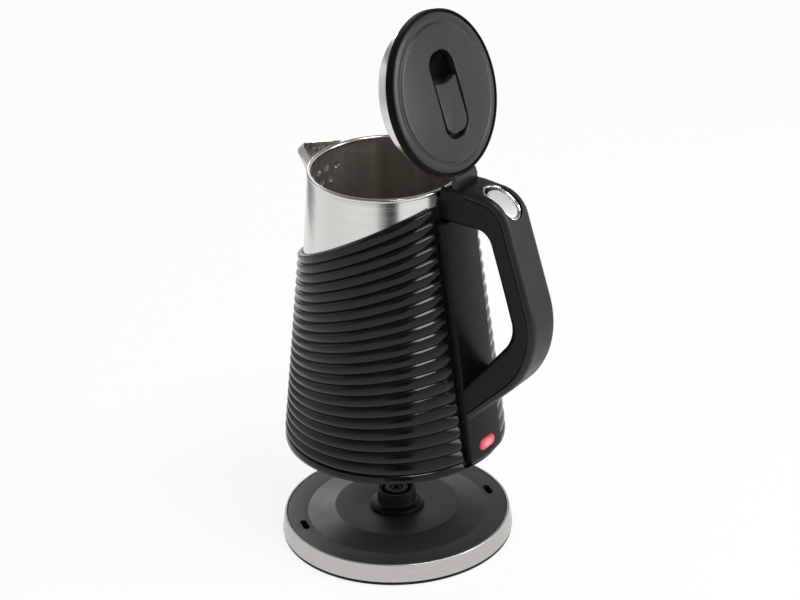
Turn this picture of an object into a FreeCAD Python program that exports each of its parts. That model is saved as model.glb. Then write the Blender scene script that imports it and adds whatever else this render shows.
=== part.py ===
# Electric kettle lifted above its round power base, with the lid open.
#
# Millimetres, +Z up. The origin is on the kettle's upright axis, in the plane that the base stands on.
# +X points to the handle and -X to the spout. Heights inside the kettle are counted from its own foot.

import FreeCAD, Part
import Sketcher

import math
import os

DRIVING = [
    ("lifted_height", 77, "foot of the lifted kettle above the table"),
    ("kettle_height", 199, "foot of the kettle to the top of its rim"),
    ("base_margin", 4.4, "steel ring of the base beyond the foot of the kettle"),
    ("base_taper", 2, "steel ring narrower at its upper edge"),
    ("base_height", 16, "table to the top of the steel ring"),
    ("base_ring_wall", 1.4, "steel of the base ring"),
    ("base_slack", 0.2, "gap between the steel ring and the base cover"),
    ("foot_thickness", 1, "rubber foot ring under the base"),
    ("foot_ring_inset", 11, "middle of the rubber foot ring from the edge of the base"),
    ("foot_ring_width", 5, "width of the rubber foot ring"),
    ("base_edge", 2, "black plate under the steel ring"),
    ("edge_inset", 0.5, "black plate behind the lower edge of the ring"),
    ("cover_drop", 0.4, "base cover below the top of the steel ring"),
    ("dome_slack", 0.5, "sloped band of the base cover inside the hollow of the kettle"),
    ("dome_radius", 43, "raised middle of the base cover"),
    ("dome_rise", 3.4, "height of the raised middle"),
    ("drain_inset", 13, "drain slots from the edge of the base"),
    ("drain_length", 7.6, "drain slot, along the ring"),
    ("drain_width", 4, "drain slot, across the ring"),
    ("drain_turn", 53.5, "angle from the handle to the first drain slot"),
    ("turret_radius", 13.5, "round connector of the base"),
    ("turret_height", 12.8, "turret above the middle of the cover"),
    ("turret_slack", 0.3, "slack round and under the turret"),
    ("skirt_radius", 18.6, "collar at the foot of the turret"),
    ("skirt_height", 3.1, "height of that collar"),
    ("groove_outer", 11.3, "outer radius of the ring groove in the turret"),
    ("groove_inner", 7, "inner radius of the ring groove in the turret"),
    ("groove_depth", 5, "ring groove in the turret"),
    ("earth_hole", 2.2, "radius of the hole in the middle of the turret"),
    ("earth_depth", 7, "hole in the middle of the turret"),
    ("inlet_turn", 143.5, "angle from the handle to the inlet of the lead"),
    ("inlet_bore", 3.6, "radius of the inlet of the lead"),
    ("inlet_wall", 1.5, "rubber of the inlet"),
    ("inlet_length", 14, "inlet of the lead"),
    ("inlet_proud", 1.5, "inlet beyond the steel ring"),
    ("inlet_height", 9, "inlet of the lead above the table"),
    ("dock_gap", 0.4, "foot of the docked kettle above the base cover"),
    ("socket_room", 0.7, "slack between the socket and the docked turret"),
    ("socket_wall", 2.2, "plastic of the socket"),
    ("socket_outer", 23, "outer radius of the socket"),
    ("earth_pin", 1.4, "radius of the middle contact pin"),
    ("live_pin", 1, "radius of the outer contact pins"),
    ("pin_reach", 4.6, "contact pins below the roof of the socket"),
    ("pot_top_radius", 51, "steel pot, outside, at the rim"),
    ("pot_inset", 9.1, "steel pot at its floor, inside the crests at the foot"),
    ("pot_wall", 0.8, "steel of the pot"),
    ("pot_floor", 28, "inside floor of the pot"),
    ("bead_radius", 1.5, "rolled rim of the pot"),
    ("strainer_hole", 2.2, "radius of the strainer holes behind the spout"),
    ("strainer_pitch", 9, "spacing of the strainer holes"),
    ("strainer_drop", 16, "upper row of strainer holes below the rim"),
    ("steam_drop", 29, "steam inlet in the back of the pot, below the rim"),
    ("steam_hole", 3.2, "radius of the steam inlet"),
    ("spout_reach", 17, "lips of the spout beyond the side of the pot"),
    ("spout_spread", 17.5, "half width of the spout at the pot"),
    ("spout_depth", 32, "height of the spout at the pot"),
    ("spout_drop", 1, "lips of the spout below the top of the rim"),
    ("spout_wall", 1, "steel of the spout"),
    ("spout_nose", 2.4, "half width of the spout's tip"),
    ("shell_bottom_radius", 75.6, "crests of the ribs at the kettle's foot"),
    ("shell_step", 3.3, "line of the crests outside the pot, at the height of the rim"),
    ("shell_wall", 1.5, "plastic behind the grooves of the shell"),
    ("rib_count", 21, "ribs of the shell"),
    ("rib_height", 1.8, "crest of a rib above its grooves"),
    ("plain_band", 6, "plain band under the lowest rib"),
    ("shell_cut_drop", 38, "slanted top edge below the rim, on the axis"),
    ("shell_slope", 0.54, "rise of the slanted edge towards the handle"),
    ("shell_foot", 1, "flange of the bottom cover under the shell"),
    ("shell_clearance", 0.4, "slack round the pot, beside the spine and inside the shell"),
    ("recess_depth", 4.5, "hollow under the kettle, above its foot ring"),
    ("foot_width", 13.1, "foot ring of the kettle round that hollow"),
    ("cover_wall", 2.2, "plastic of the bottom cover"),
    ("spreader_inset", 8.5, "edge of the heat spreader inside the edge of the pot"),
    ("spreader_thickness", 2.5, "aluminium heat spreader"),
    ("element_radius", 44, "middle of the heating element's ring"),
    ("element_tube", 3.2, "half width of the heating element's sheath"),
    ("element_gap", 40, "opening of the heating element's ring"),
    ("control_length", 60, "control unit, along the handle"),
    ("control_width", 40, "control unit, across"),
    ("seat_slack", 0.1, "slack round pieces that are pushed into place"),
    ("spine_half", 17, "half width of the handle's spine"),
    ("spine_flange", 4, "ledge beside the spine, next to the ribs"),
    ("spine_stand", 5.7, "face of the spine beyond the crests of the ribs"),
    ("spine_wall", 2.4, "plastic of the spine"),
    ("spine_foot", 2, "lower end of the spine"),
    ("spine_bevel", 5, "slant at the lower end of the spine"),
    ("spine_drop", 21, "upper end of the spine below the rim"),
    ("spine_knee", 36, "below this height the face of the spine is upright"),
    ("handle_half", 14, "half width of the handle"),
    ("cover_depth", 4.4, "outer cover of the handle, as far as the parting line"),
    ("seam", 0.1, "parting lines of the handle"),
    ("edge_round", 4, "rounded long edges of the handle's cover"),
    ("inner_round", 3, "rounded edges of the finger gap"),
    ("handle_rise", 4.4, "handle above the rim, next to the hinge"),
    ("handle_setback", 20, "front end of the handle's outer cover behind the mouth of the pot"),
    ("top_reach", 24.9, "upper corner of the handle behind the foot, before rounding"),
    ("top_rise", 1.5, "upper corner of the handle above the rim, before rounding"),
    ("top_round", 34, "rounding of the upper corner"),
    ("low_reach", 56.6, "lower corner of the handle behind the foot, before rounding"),
    ("low_corner_z", 92.3, "lower corner of the handle, before rounding"),
    ("low_round", 68, "rounding of the lower corner"),
    ("arm_end_z", 41.5, "lower edge of the lower arm, on the spine"),
    ("arm_inner_z", 62, "upper edge of the lower arm, on the spine"),
    ("gap_low_reach", 33.9, "lower corner of the finger gap behind the foot, before rounding"),
    ("gap_low_z", 104.5, "lower corner of the finger gap, before rounding"),
    ("gap_low_round", 26, "rounding of that corner"),
    ("gap_top_reach", 14.7, "upper corner of the finger gap behind the foot, before rounding"),
    ("gap_top_round", 17, "rounding of that corner"),
    ("hinge_setback", 12.2, "lid hinge behind the mouth of the pot"),
    ("hinge_rise", 2.2, "lid hinge above the rim"),
    ("pin_radius", 1.2, "hinge pin"),
    ("pin_clearance", 0.05, "running fit of the hinge pin"),
    ("pin_end", 0.9, "plastic over the ends of the hinge pin"),
    ("ear_wall", 1.8, "wall of the handle on each side of the hinge"),
    ("knuckle_radius", 3.4, "knuckle of the lid"),
    ("hinge_slack", 0.2, "side play of the lid in the handle"),
    ("hinge_room", 2, "room under the knuckle of the lid"),
    ("lid_open", 73, "opening angle of the lid"),
    ("lid_overhang", 3.2, "edge of the lid outside the mouth of the pot"),
    ("lid_lift", 1.6, "underside of the closed lid above the rim"),
    ("lid_edge", 6, "height of the lid's black edge"),
    ("lid_floor", 3.6, "plate of the lid that the cover lies on"),
    ("lid_rim", 1.6, "black edge round the lid's cover"),
    ("lid_slack", 0.2, "slack round the lid's cover"),
    ("cover_edge", 2.2, "edge of the lid's cover"),
    ("lid_crown", 2.8, "middle of the lid's cover above its edge"),
    ("groove_inset", 7.5, "ring groove in the lid's cover from the edge of the lid"),
    ("groove_half", 0.8, "half width and depth of that groove"),
    ("plug_room", 6, "room between the steel plug of the lid and the mouth of the pot"),
    ("plug_depth", 13, "steel plug below the lid"),
    ("plug_bevel", 1.2, "bevel of the plug's lower edge"),
    ("plug_wall", 0.8, "steel of the plug"),
    ("seal_height", 1.25, "silicone seal under the lid"),
    ("seal_inset", 0.5, "edge of the silicone seal inside the mouth of the pot"),
    ("seal_slack", 0.1, "slack between seal and plug"),
    ("recess_length", 61, "finger recess in the lid, end to end"),
    ("recess_width", 25.5, "finger recess in the lid, across"),
    ("well_length", 33.5, "deep part of the finger recess"),
    ("well_depth", 10.3, "finger well below the lid's plate"),
    ("well_wall", 1.6, "wall of the finger well"),
    ("catch_length", 34, "sliding catch, at its middle"),
    ("catch_travel", 3, "travel of the catch"),
    ("catch_slack", 0.5, "slack round the catch"),
    ("catch_lift", 0.3, "catch above the plate of the lid"),
    ("catch_thickness", 4.6, "sliding catch"),
    ("catch_hollow", 28, "radius of the hollow front edge of the catch"),
    ("button_angle", 57, "direction of the release button, above level"),
    ("button_length", 27, "release button, along the handle"),
    ("button_width", 14, "release button, across"),
    ("button_drop", 0.8, "button below the curve of the handle"),
    ("button_height", 7.2, "release button, along its travel"),
    ("button_travel", 2.5, "travel of the release button"),
    ("button_room", 1, "room under the pressed release button"),
    ("button_slack", 0.3, "slack round the release button"),
    ("bezel_width", 1.7, "bright frame of the release button"),
    ("bezel_rise", 0.6, "frame above the curve of the handle"),
    ("bezel_slack", 0.1, "slack round the frame"),
    ("switch_height", 13.8, "middle of the power switch"),
    ("switch_length", 17, "power switch, level"),
    ("switch_width", 8, "power switch, upright"),
    ("switch_slack", 0.6, "slack round the power switch"),
    ("switch_proud", 0.6, "power switch beyond the face of the spine"),
    ("switch_depth", 7, "power switch, front to back"),
    ("switch_wall", 1.4, "red cap of the power switch"),
    ("switch_pivot", 4.6, "pivot of the power switch behind the face of the spine"),
    ("trunnion", 1.2, "radius of the pivots"),
    ("trunnion_length", 3, "pivots beside the cap"),
    ("trunnion_slack", 0.05, "running fit of the pivots"),
    ("steam_box_back", 59, "back of the steam switch from the axis of the pot"),
    ("steam_box_half", 9, "half width of the steam switch"),
    ("bimetal_radius", 7, "snap disc behind the steam switch"),
    ("bimetal_thickness", 0.5, "snap disc behind the steam switch"),
    ("lamp_radius", 1.8, "lamp behind the power switch"),
    ("lamp_length", 2.4, "lamp behind the power switch"),
    ("tube_radius", 2.5, "steam tube, outside"),
    ("tube_bore", 1.7, "steam tube, inside"),
    ("elbow_half", 4, "half width of the steam elbow"),
    ("elbow_reach", 7, "steam elbow above and below the inlet"),
]


class Size:
    """A size: its number, and the formula that ties it to the sheet."""

    def __init__(self, number, formula):
        self.number = number
        self.formula = formula

    def __add__(self, other):
        other = size(other)
        return Size(self.number + other.number, f"({self.formula} + {other.formula})")

    def __sub__(self, other):
        other = size(other)
        return Size(self.number - other.number, f"({self.formula} - {other.formula})")

    def __mul__(self, other):
        other = size(other)
        return Size(self.number * other.number, f"({self.formula} * {other.formula})")

    def __truediv__(self, other):
        other = size(other)
        return Size(self.number / other.number, f"({self.formula} / {other.formula})")

    def __radd__(self, other):
        return size(other) + self

    def __rsub__(self, other):
        return size(other) - self

    def __rmul__(self, other):
        return size(other) * self

    def __neg__(self):
        return size(0) - self


def size(value):
    """Takes a plain number as a size too."""
    return value if isinstance(value, Size) else Size(float(value), f"({float(value):.9f})")


def leg(longest, side):
    """The other short side of a right-angled triangle."""
    longest, side = size(longest), size(side)
    number = math.sqrt(longest.number**2 - side.number**2)
    return Size(number, f"sqrt({longest.formula} * {longest.formula} - {side.formula} * {side.formula})")


class Dimensions:
    """The driving dimensions, as sizes under their own names."""


doc = FreeCAD.newDocument("electric_kettle")
sheet = doc.addObject("Spreadsheet::Sheet", "sizes")
k = Dimensions()
for row, (alias, number, meaning) in enumerate(DRIVING, start=1):
    sheet.set(f"A{row}", meaning)
    sheet.set(f"B{row}", str(number))
    sheet.setAlias(f"B{row}", alias)
    setattr(k, alias, Size(float(number), f"sizes.{alias}"))
doc.recompute()

# Sizes that follow from these: the foot leads the base, the pot's floor and the loop of the handle, the mouth
# leads the lid and its hinge, and the rim leads every height near it

k.base_radius = k.shell_bottom_radius + k.base_margin
k.base_top_radius = k.base_radius - k.base_taper
k.foot_ring_radius = k.base_radius - k.foot_ring_inset
k.drain_circle = k.base_radius - k.drain_inset
k.recess_radius = k.shell_bottom_radius - k.foot_width
k.dome_outer_radius = k.recess_radius - k.dome_slack
k.pot_bottom_radius = k.shell_bottom_radius - k.pot_inset
k.spreader_radius = k.pot_bottom_radius - k.spreader_inset
k.shell_top_radius = k.pot_top_radius + k.shell_step
k.shell_cut = k.kettle_height - k.shell_cut_drop
k.steam_height = k.kettle_height - k.steam_drop
k.spine_top = k.kettle_height - k.spine_drop
k.handle_top = k.kettle_height + k.handle_rise
k.handle_start = k.pot_top_radius + k.handle_setback
k.top_corner_x = k.shell_bottom_radius + k.top_reach
k.top_corner_z = k.kettle_height + k.top_rise
k.low_corner_x = k.shell_bottom_radius + k.low_reach
k.gap_low_x = k.shell_bottom_radius + k.gap_low_reach
k.gap_top_x = k.shell_bottom_radius + k.gap_top_reach
k.hinge_x = k.pot_top_radius + k.hinge_setback
k.hinge_z = k.kettle_height + k.hinge_rise
k.lid_radius = k.pot_top_radius + k.lid_overhang
k.groove_radius = k.lid_radius - k.groove_inset
k.plug_radius = k.pot_top_radius - k.plug_room
k.seal_radius = k.pot_top_radius - k.seal_inset

Vector = FreeCAD.Vector
UP = Vector(0, 0, 1)
FORWARD = Vector(1, 0, 0)
ACROSS = Vector(0, 1, 0)
nodes = []


# Workshop: sketches, features and booleans that take sizes


def bind(target, name, value):
    target.setExpression(name, size(value).formula)


def place(target, x=0, y=0, z=0):
    for axis, value in (("x", x), ("y", y), ("z", z)):
        bind(target, f"Placement.Base.{axis}", value)


def keep(piece, label):
    """Enters a finished piece under the name of its node."""
    piece.Label = label
    nodes.append(piece)
    return piece


def new_body(name):
    return doc.addObject("PartDesign::Body", name)


def sketch_on(body, role, name, offset=0):
    plane = next(f for f in body.Origin.OriginFeatures if f.Role == role)
    sketch = body.newObject("Sketcher::SketchObject", name)
    sketch.AttachmentSupport = [(plane, "")]
    sketch.MapMode = "FlatFace"
    bind(sketch, "AttachmentOffset.Base.z", offset)
    return sketch


def fix_point(sketch, line, end, x, y):
    """Holds one end of a line at sizes measured from the sketch's origin."""
    for kind, value, axis in (("DistanceX", size(x), -2), ("DistanceY", size(y), -1)):
        if abs(value.number) < 1e-9:
            sketch.addConstraint(Sketcher.Constraint("PointOnObject", line, end, axis))
        else:
            index = sketch.addConstraint(Sketcher.Constraint(kind, -1, 1, line, end, value.number))
            sketch.setExpression(f"Constraints[{index}]", value.formula)


def polygon(sketch, corners):
    """A closed outline of straight lines."""
    points = [Vector(size(x).number, size(y).number, 0) for x, y in corners]
    count = len(points)
    first = sketch.GeometryCount
    for i in range(count):
        sketch.addGeometry(Part.LineSegment(points[i], points[(i + 1) % count]), False)
    for i in range(count):
        following = first + (i + 1) % count
        sketch.addConstraint(Sketcher.Constraint("Coincident", first + i, 2, following, 1))
    for i, (x, y) in enumerate(corners):
        fix_point(sketch, first + i, 1, x, y)


def circle(sketch, x, y, radius):
    radius = size(radius)
    centre = Vector(size(x).number, size(y).number, 0)
    index = sketch.addGeometry(Part.Circle(centre, UP, radius.number), False)
    rule = sketch.addConstraint(Sketcher.Constraint("Radius", index, radius.number))
    sketch.setExpression(f"Constraints[{rule}]", radius.formula)
    fix_point(sketch, index, 3, x, y)


def stadium(sketch, x, y, length, width):
    """A slot with round ends, long in the sketch's first direction, about a middle point."""
    x, y = size(x), size(y)
    radius = size(width) / 2
    reach = (size(length) - width) / 2
    right, left, upper, lower = (sketch.GeometryCount + i for i in range(4))
    quarter = math.pi / 2
    for middle, start in ((x + reach, -quarter), (x - reach, quarter)):
        curve = Part.Circle(Vector(middle.number, y.number, 0), UP, radius.number)
        sketch.addGeometry(Part.ArcOfCircle(curve, start, start + math.pi), False)
    for level in (y + radius, y - radius):
        near = Vector((x + reach).number, level.number, 0)
        far = Vector((x - reach).number, level.number, 0)
        sketch.addGeometry(Part.LineSegment(near, far), False)
    for arc, end, line, tip in ((right, 2, upper, 1), (left, 1, upper, 2), (right, 1, lower, 1), (left, 2, lower, 2)):
        sketch.addConstraint(Sketcher.Constraint("Tangent", arc, end, line, tip))
    rule = sketch.addConstraint(Sketcher.Constraint("Radius", right, radius.number))
    sketch.setExpression(f"Constraints[{rule}]", radius.formula)
    fix_point(sketch, right, 3, x + reach, y)
    fix_point(sketch, left, 3, x - reach, y)


def revolve(body, sketch, name, cut=False, angle=360):
    feature = body.newObject("PartDesign::Groove" if cut else "PartDesign::Revolution", name)
    feature.Profile = sketch
    feature.ReferenceAxis = (sketch, ["V_Axis"])
    bind(feature, "Angle", angle)
    return feature


def extrude(body, sketch, name, length, side="Symmetric", cut=False, backwards=False):
    feature = body.newObject("PartDesign::Pocket" if cut else "PartDesign::Pad", name)
    feature.Profile = sketch
    feature.SideType = side
    feature.Reversed = backwards
    bind(feature, "Length", length)
    return feature


def turned(name, outline):
    """A body turned about the upright axis from an outline of radii and heights."""
    body = new_body(name)
    sketch = sketch_on(body, "XZ_Plane", name + "_outline")
    polygon(sketch, outline)
    revolve(body, sketch, name + "_turn")
    return body


def turn_away(body, name, outline):
    """Cuts a turned room out of a body."""
    sketch = sketch_on(body, "XZ_Plane", name + "_outline")
    polygon(sketch, outline)
    return revolve(body, sketch, name, cut=True)


def plate(body, name, outline, thickness, cut=False):
    """A plate, or a cut, drawn in the plane of the handle and even on both sides of it."""
    sketch = sketch_on(body, "XZ_Plane", name + "_outline")
    polygon(sketch, outline)
    return extrude(body, sketch, name, thickness, cut=cut)


def round_edges(body, name, radius, chosen):
    """Rounds those edges of a body that a test picks."""
    doc.recompute()
    tip = body.Tip
    names = [f"Edge{i}" for i, edge in enumerate(tip.Shape.Edges, start=1) if chosen(edge)]
    if not names:
        raise RuntimeError(f"{name} finds no edge to round")
    feature = body.newObject("PartDesign::Fillet", name)
    feature.Base = (tip, names)
    bind(feature, "Radius", radius)
    return feature


def upright_at(corner):
    """Picks the edge across the handle that stands on one corner of an outline."""
    x, z = (size(v).number for v in corner)

    def chosen(edge):
        ends = [v.Point for v in edge.Vertexes]
        return len(ends) == 2 and all(math.hypot(p.x - x, p.z - z) < 1e-3 for p in ends)

    return chosen


def along_outline(outline, bends, half):
    """Picks the long edges on both sides of a plate: those on an outline's lines, and its bends."""
    lines = [[size(v).number for v in first + second] for first, second in zip(outline, outline[1:])]
    radii = [size(bend).number for bend in bends]

    def chosen(edge):
        middle = edge.valueAt((edge.FirstParameter + edge.LastParameter) / 2)
        if abs(abs(middle.y) - size(half).number) > 1e-3:
            return False
        if isinstance(edge.Curve, Part.Circle):
            return any(abs(edge.Curve.Radius - radius) < 1e-3 for radius in radii)
        for x1, z1, x2, z2 in lines:
            sideways = (middle.x - x1) * (z2 - z1) - (middle.z - z1) * (x2 - x1)
            if abs(sideways) < 1e-3 * math.hypot(x2 - x1, z2 - z1):
                return True
        return False

    return chosen


def rod(name, radius, length, x=0, y=0, z=0, axis=UP):
    """A round rod that starts at a point and runs along an axis."""
    bar = doc.addObject("Part::Cylinder", name)
    bind(bar, "Radius", radius)
    bind(bar, "Height", length)
    bar.Placement = FreeCAD.Placement(Vector(), FreeCAD.Rotation(UP, axis))
    place(bar, x, y, z)
    return bar


def block(name, low, high):
    bar = doc.addObject("Part::Box", name)
    for side, near, far in zip(("Length", "Width", "Height"), low, high):
        bind(bar, side, size(far) - near)
    place(bar, *low)
    return bar


def fused(name, shapes):
    piece = doc.addObject("Part::MultiFuse", name)
    piece.Shapes = shapes
    return piece


def without(name, base, tools):
    """A piece with other shapes cut out of it."""
    piece = doc.addObject("Part::Cut", name)
    piece.Base = base
    piece.Tool = tools[0] if len(tools) == 1 else fused(name + "_room", tools)
    return piece


def shared(name, shapes):
    piece = doc.addObject("Part::MultiCommon", name)
    piece.Shapes = shapes
    return piece


def group(label, shapes):
    """Several like pieces that share one node."""
    piece = doc.addObject("Part::Compound", label)
    piece.Links = shapes
    return keep(piece, label)


# Lines and levels that several pieces share


def up(height):
    """A height counted from the foot of the kettle."""
    return k.lifted_height + height


def raised(points):
    return [(x, up(z)) for x, z in points]


def on_line(low, high, height):
    """The radius at a height on the straight line between two points (radius, height)."""
    share = (size(height) - low[1]) / (size(high[1]) - low[1])
    return size(low[0]) + (size(high[0]) - low[0]) * share


rim_middle = k.kettle_height - k.bead_radius
pot_under = k.pot_floor - k.pot_wall
spreader_under = pot_under - k.spreader_thickness
plate_top = k.recess_depth + k.cover_wall
base_floor = k.foot_thickness + k.base_edge
base_top = k.base_height - k.cover_drop
dome_top = base_top + k.dome_rise
turret_top = dome_top + k.turret_height
pot_low = (k.pot_bottom_radius, pot_under)
pot_high = (k.pot_top_radius, rim_middle)
crest_low = (k.shell_bottom_radius, 0)
crest_high = (k.shell_top_radius, k.kettle_height)
liner_low = (k.shell_bottom_radius - k.rib_height - k.shell_wall, k.shell_foot)
liner_high = (k.pot_top_radius + k.shell_clearance, rim_middle)


def crest_radius(height):
    return on_line(crest_low, crest_high, height)


def liner_radius(height):
    """Inner side of the shell and back of the spine, clear of the pot."""
    return on_line(liner_low, liner_high, height)


def spine_face(height):
    """Face of the spine, which runs beside the crests and stands upright below the knee."""
    height = size(height)
    return crest_radius(height if height.number > k.spine_knee.number else k.spine_knee) + k.spine_stand


def docked(height):
    """Where a height of the base comes inside the docked kettle."""
    return height - base_top - k.dock_gap


socket_roof = docked(turret_top) + k.socket_room
socket_top = socket_roof + k.socket_wall
spine_inside = spine_face(k.spine_knee) - k.spine_wall


# Steel pot and spout


def make_pot():
    """A tapered steel pot with a rolled rim, a strainer in front and a steam inlet behind."""
    bead = k.bead_radius
    outside = k.pot_top_radius
    inside = outside - k.pot_wall
    body = turned(
        "inner_pot",
        raised(
            [
                (0, pot_under),
                (k.pot_bottom_radius, pot_under),
                (outside, rim_middle - bead),
                (outside + bead / 3, rim_middle - bead / 2),
                (outside + bead / 3, rim_middle + bead / 2),
                (outside - bead / 3, k.kettle_height),
                (outside - bead, k.kettle_height),
                (outside - bead * 5 / 3, rim_middle + bead / 2),
                (outside - bead * 5 / 3, rim_middle - bead / 2),
                (inside, rim_middle - bead),
                (k.pot_bottom_radius - k.pot_wall, k.pot_floor),
                (0, k.pot_floor),
            ]
        ),
    )
    strainer = sketch_on(body, "YZ_Plane", "strainer_holes")
    top = up(k.kettle_height - k.strainer_drop)
    for row, count in enumerate((4, 3)):
        for column in range(count):
            sideways = k.strainer_pitch * (column - (count - 1) / 2)
            circle(strainer, sideways, top - k.strainer_pitch * row, k.strainer_hole)
    extrude(body, strainer, "strainer", k.pot_bottom_radius, "One side", cut=True)
    inlet = sketch_on(body, "YZ_Plane", "steam_hole_outline")
    circle(inlet, 0, up(k.steam_height), k.steam_hole)
    extrude(body, inlet, "steam_inlet", k.pot_bottom_radius, "One side", cut=True, backwards=True)
    keep(body, "inner_pot")


# Level lines of the beak from its lips to its keel: share of its height, of its reach and of its half width

BEAK_LINES = [(0, 1, 1), (0.13, 1.24, 1), (0.42, 1, 0.98), (0.68, 0.6, 0.84), (0.88, 0.3, 0.56), (1, 0.16, 0.16)]


def make_spout():
    """A pressed steel beak with a round prow, open at the top, on the outside of the strainer."""
    body = new_body("spout")
    lips = k.kettle_height - k.spout_drop
    root = leg(k.pot_top_radius, k.spout_spread) - k.spout_wall

    def level_line(name, height, reach, spread, inset):
        """The beak cut level: from inside the pot to the blunt tip."""
        sketch = sketch_on(body, "XY_Plane", name, up(height))
        tip = -(k.pot_top_radius + k.spout_reach * reach - inset)
        half = k.spout_spread * spread - inset / 2
        nose = k.spout_nose * (0.4 + 0.6 * spread) - inset / 2
        polygon(sketch, [(-root, half), (tip, nose), (tip, -nose), (-root, -half)])
        return sketch

    for kind, name, inset, tall in (
        ("AdditiveLoft", "beak", size(0), k.spout_depth),
        ("SubtractiveLoft", "channel", k.spout_wall, k.spout_depth - k.spout_wall),
    ):
        lines = [
            level_line(f"{name}_line_{row}", lips - tall * share, reach, spread, inset)
            for row, (share, reach, spread) in enumerate(BEAK_LINES)
        ]
        loft = body.newObject("PartDesign::" + kind, name)
        loft.Profile = lines[0]
        loft.Sections = lines[1:]
        loft.Ruled = True
    low = rim_middle - 1.5 * k.spout_depth
    neck = rim_middle - 2 * k.bead_radius
    bead_edge = k.pot_top_radius + k.bead_radius / 3
    turn_away(
        body,
        "room_for_pot",
        raised(
            [
                (0, low),
                (on_line(pot_low, pot_high, low), low),
                (on_line(pot_low, pot_high, neck), neck),
                (bead_edge, neck + k.bead_radius / 2),
                (bead_edge, k.kettle_height + k.spout_depth),
                (0, k.kettle_height + k.spout_depth),
            ]
        ),
    )
    keep(body, "spout")


# Ribbed shell


def make_shell():
    """The plastic jacket: its ribs lie level at the foot and fan out until the top edge is slanted.

    Each line of the profile runs round the pot at a share of the way from the plain band to the slanted
    edge. The edge rises towards the handle, so a point's height solves one linear equation. The lines
    end beside the spine, and neighbouring lines are joined by a ruled face.
    """
    band = k.plain_band.number
    foot_radius = k.shell_bottom_radius.number
    taper = (foot_radius - k.shell_top_radius.number) / k.kettle_height.number
    beside_spine = (k.spine_half + k.spine_flange + k.shell_clearance).number
    stations = 25

    def height_at(share, turn):
        lean = share * k.shell_slope.number * math.cos(turn)
        return (band + share * (k.shell_cut.number - band) + lean * foot_radius) / (1 + lean * taper)

    def outside(share, inset):
        def point(progress):
            radius = foot_radius
            for _ in range(6):
                first = math.asin(beside_spine / radius)
                turn = first + progress * (2 * math.pi - 2 * first)
                height = height_at(share, turn)
                radius = foot_radius - taper * height - inset
            return radius, turn, height

        return point

    def inside(share):
        def point(progress):
            radius = foot_radius
            for _ in range(6):
                first = math.asin(beside_spine / radius)
                turn = first + progress * (2 * math.pi - 2 * first)
                height = height_at(share, turn) if share else k.shell_foot.number
                radius = liner_radius(height).number
            return radius, turn, height

        return point

    def foot(progress):
        radius = foot_radius - taper * k.shell_foot.number
        first = math.asin(beside_spine / radius)
        return radius, first + progress * (2 * math.pi - 2 * first), k.shell_foot.number

    ribs = int(round(k.rib_count.number))
    groove = k.rib_height.number
    lines = [foot, outside(0, 0)]
    for rib in range(ribs):
        lines.append(outside((rib + 0.1) / ribs, groove))
        lines.append(outside((rib + 0.55) / ribs, 0))
    lines += [outside(1, groove / 2), inside(1), inside(0)]

    def place_on(line, progress):
        radius, turn, height = line(progress)
        return Vector(radius * math.cos(turn), radius * math.sin(turn), k.lifted_height.number + height)

    curves = []
    for line in lines:
        curve = Part.BSplineCurve()
        curve.interpolate([place_on(line, i / (stations - 1)) for i in range(stations)])
        curves.append(curve.toShape())
    faces = [Part.makeRuledSurface(first, second) for first, second in zip(curves, curves[1:] + curves[:1])]
    for progress in (0, 1):
        rim = [place_on(line, progress) for line in lines]
        faces.append(Part.Face(Part.makePolygon(rim + rim[:1])))
    jacket = Part.makeShell(faces)
    jacket.sewShape()
    shell = doc.addObject("Part::Feature", "outer_shell")
    shell.Shape = Part.makeSolid(jacket)
    keep(shell, "outer_shell")


# Heater, connector and bottom of the kettle


def make_heater():
    """Aluminium spreader, the ring-shaped element under it, and the control unit."""
    spreader = turned(
        "heat_spreader",
        raised([(0, spreader_under), (k.spreader_radius, spreader_under), (k.spreader_radius, pot_under), (0, pot_under)]),
    )
    keep(spreader, "heat_spreader")

    element = new_body("heating_element")
    sheath = sketch_on(element, "XZ_Plane", "sheath_outline")
    ring, half = k.element_radius, k.element_tube
    polygon(
        sheath,
        raised(
            [
                (ring - half * 2 / 3, spreader_under),
                (ring + half * 2 / 3, spreader_under),
                (ring + half, spreader_under - half),
                (ring, spreader_under - 2 * half),
                (ring - half, spreader_under - half),
            ]
        ),
    )
    revolve(element, sheath, "element_ring", angle=360 - k.element_gap)
    element.Placement = FreeCAD.Placement(Vector(), FreeCAD.Rotation(UP, k.element_gap.number / 2))
    keep(element, "heating_element")

    control = new_body("control_unit")
    case = sketch_on(control, "XY_Plane", "case_outline", up(socket_top))
    stadium(case, 0, 0, k.control_length, k.control_width)
    extrude(control, case, "case", spreader_under - socket_top, "One side")
    keep(control, "control_unit")


def make_socket():
    """The kettle's half of the turning connector, with its three contact pins."""
    mouth = docked(dome_top + k.skirt_height) + k.socket_room
    bore = k.turret_radius + k.socket_room
    collar = k.skirt_radius + k.socket_room
    socket = turned(
        "kettle_socket",
        raised(
            [
                (0, socket_roof),
                (bore, socket_roof),
                (bore, mouth),
                (collar, mouth),
                (collar, k.recess_depth),
                (k.socket_outer, k.recess_depth),
                (k.socket_outer, socket_top),
                (0, socket_top),
            ]
        ),
    )
    keep(socket, "kettle_socket")
    middle = (k.groove_inner + k.groove_outer) / 2
    low = up(socket_roof - k.pin_reach)
    pins = [rod("earth_pin_rod", k.earth_pin, k.pin_reach, 0, 0, low)]
    for index, side in enumerate((1, -1)):
        pins.append(rod(f"live_pin_rod_{index}", k.live_pin, k.pin_reach, middle * side, 0, low))
    group("socket_contacts", pins)


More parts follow.
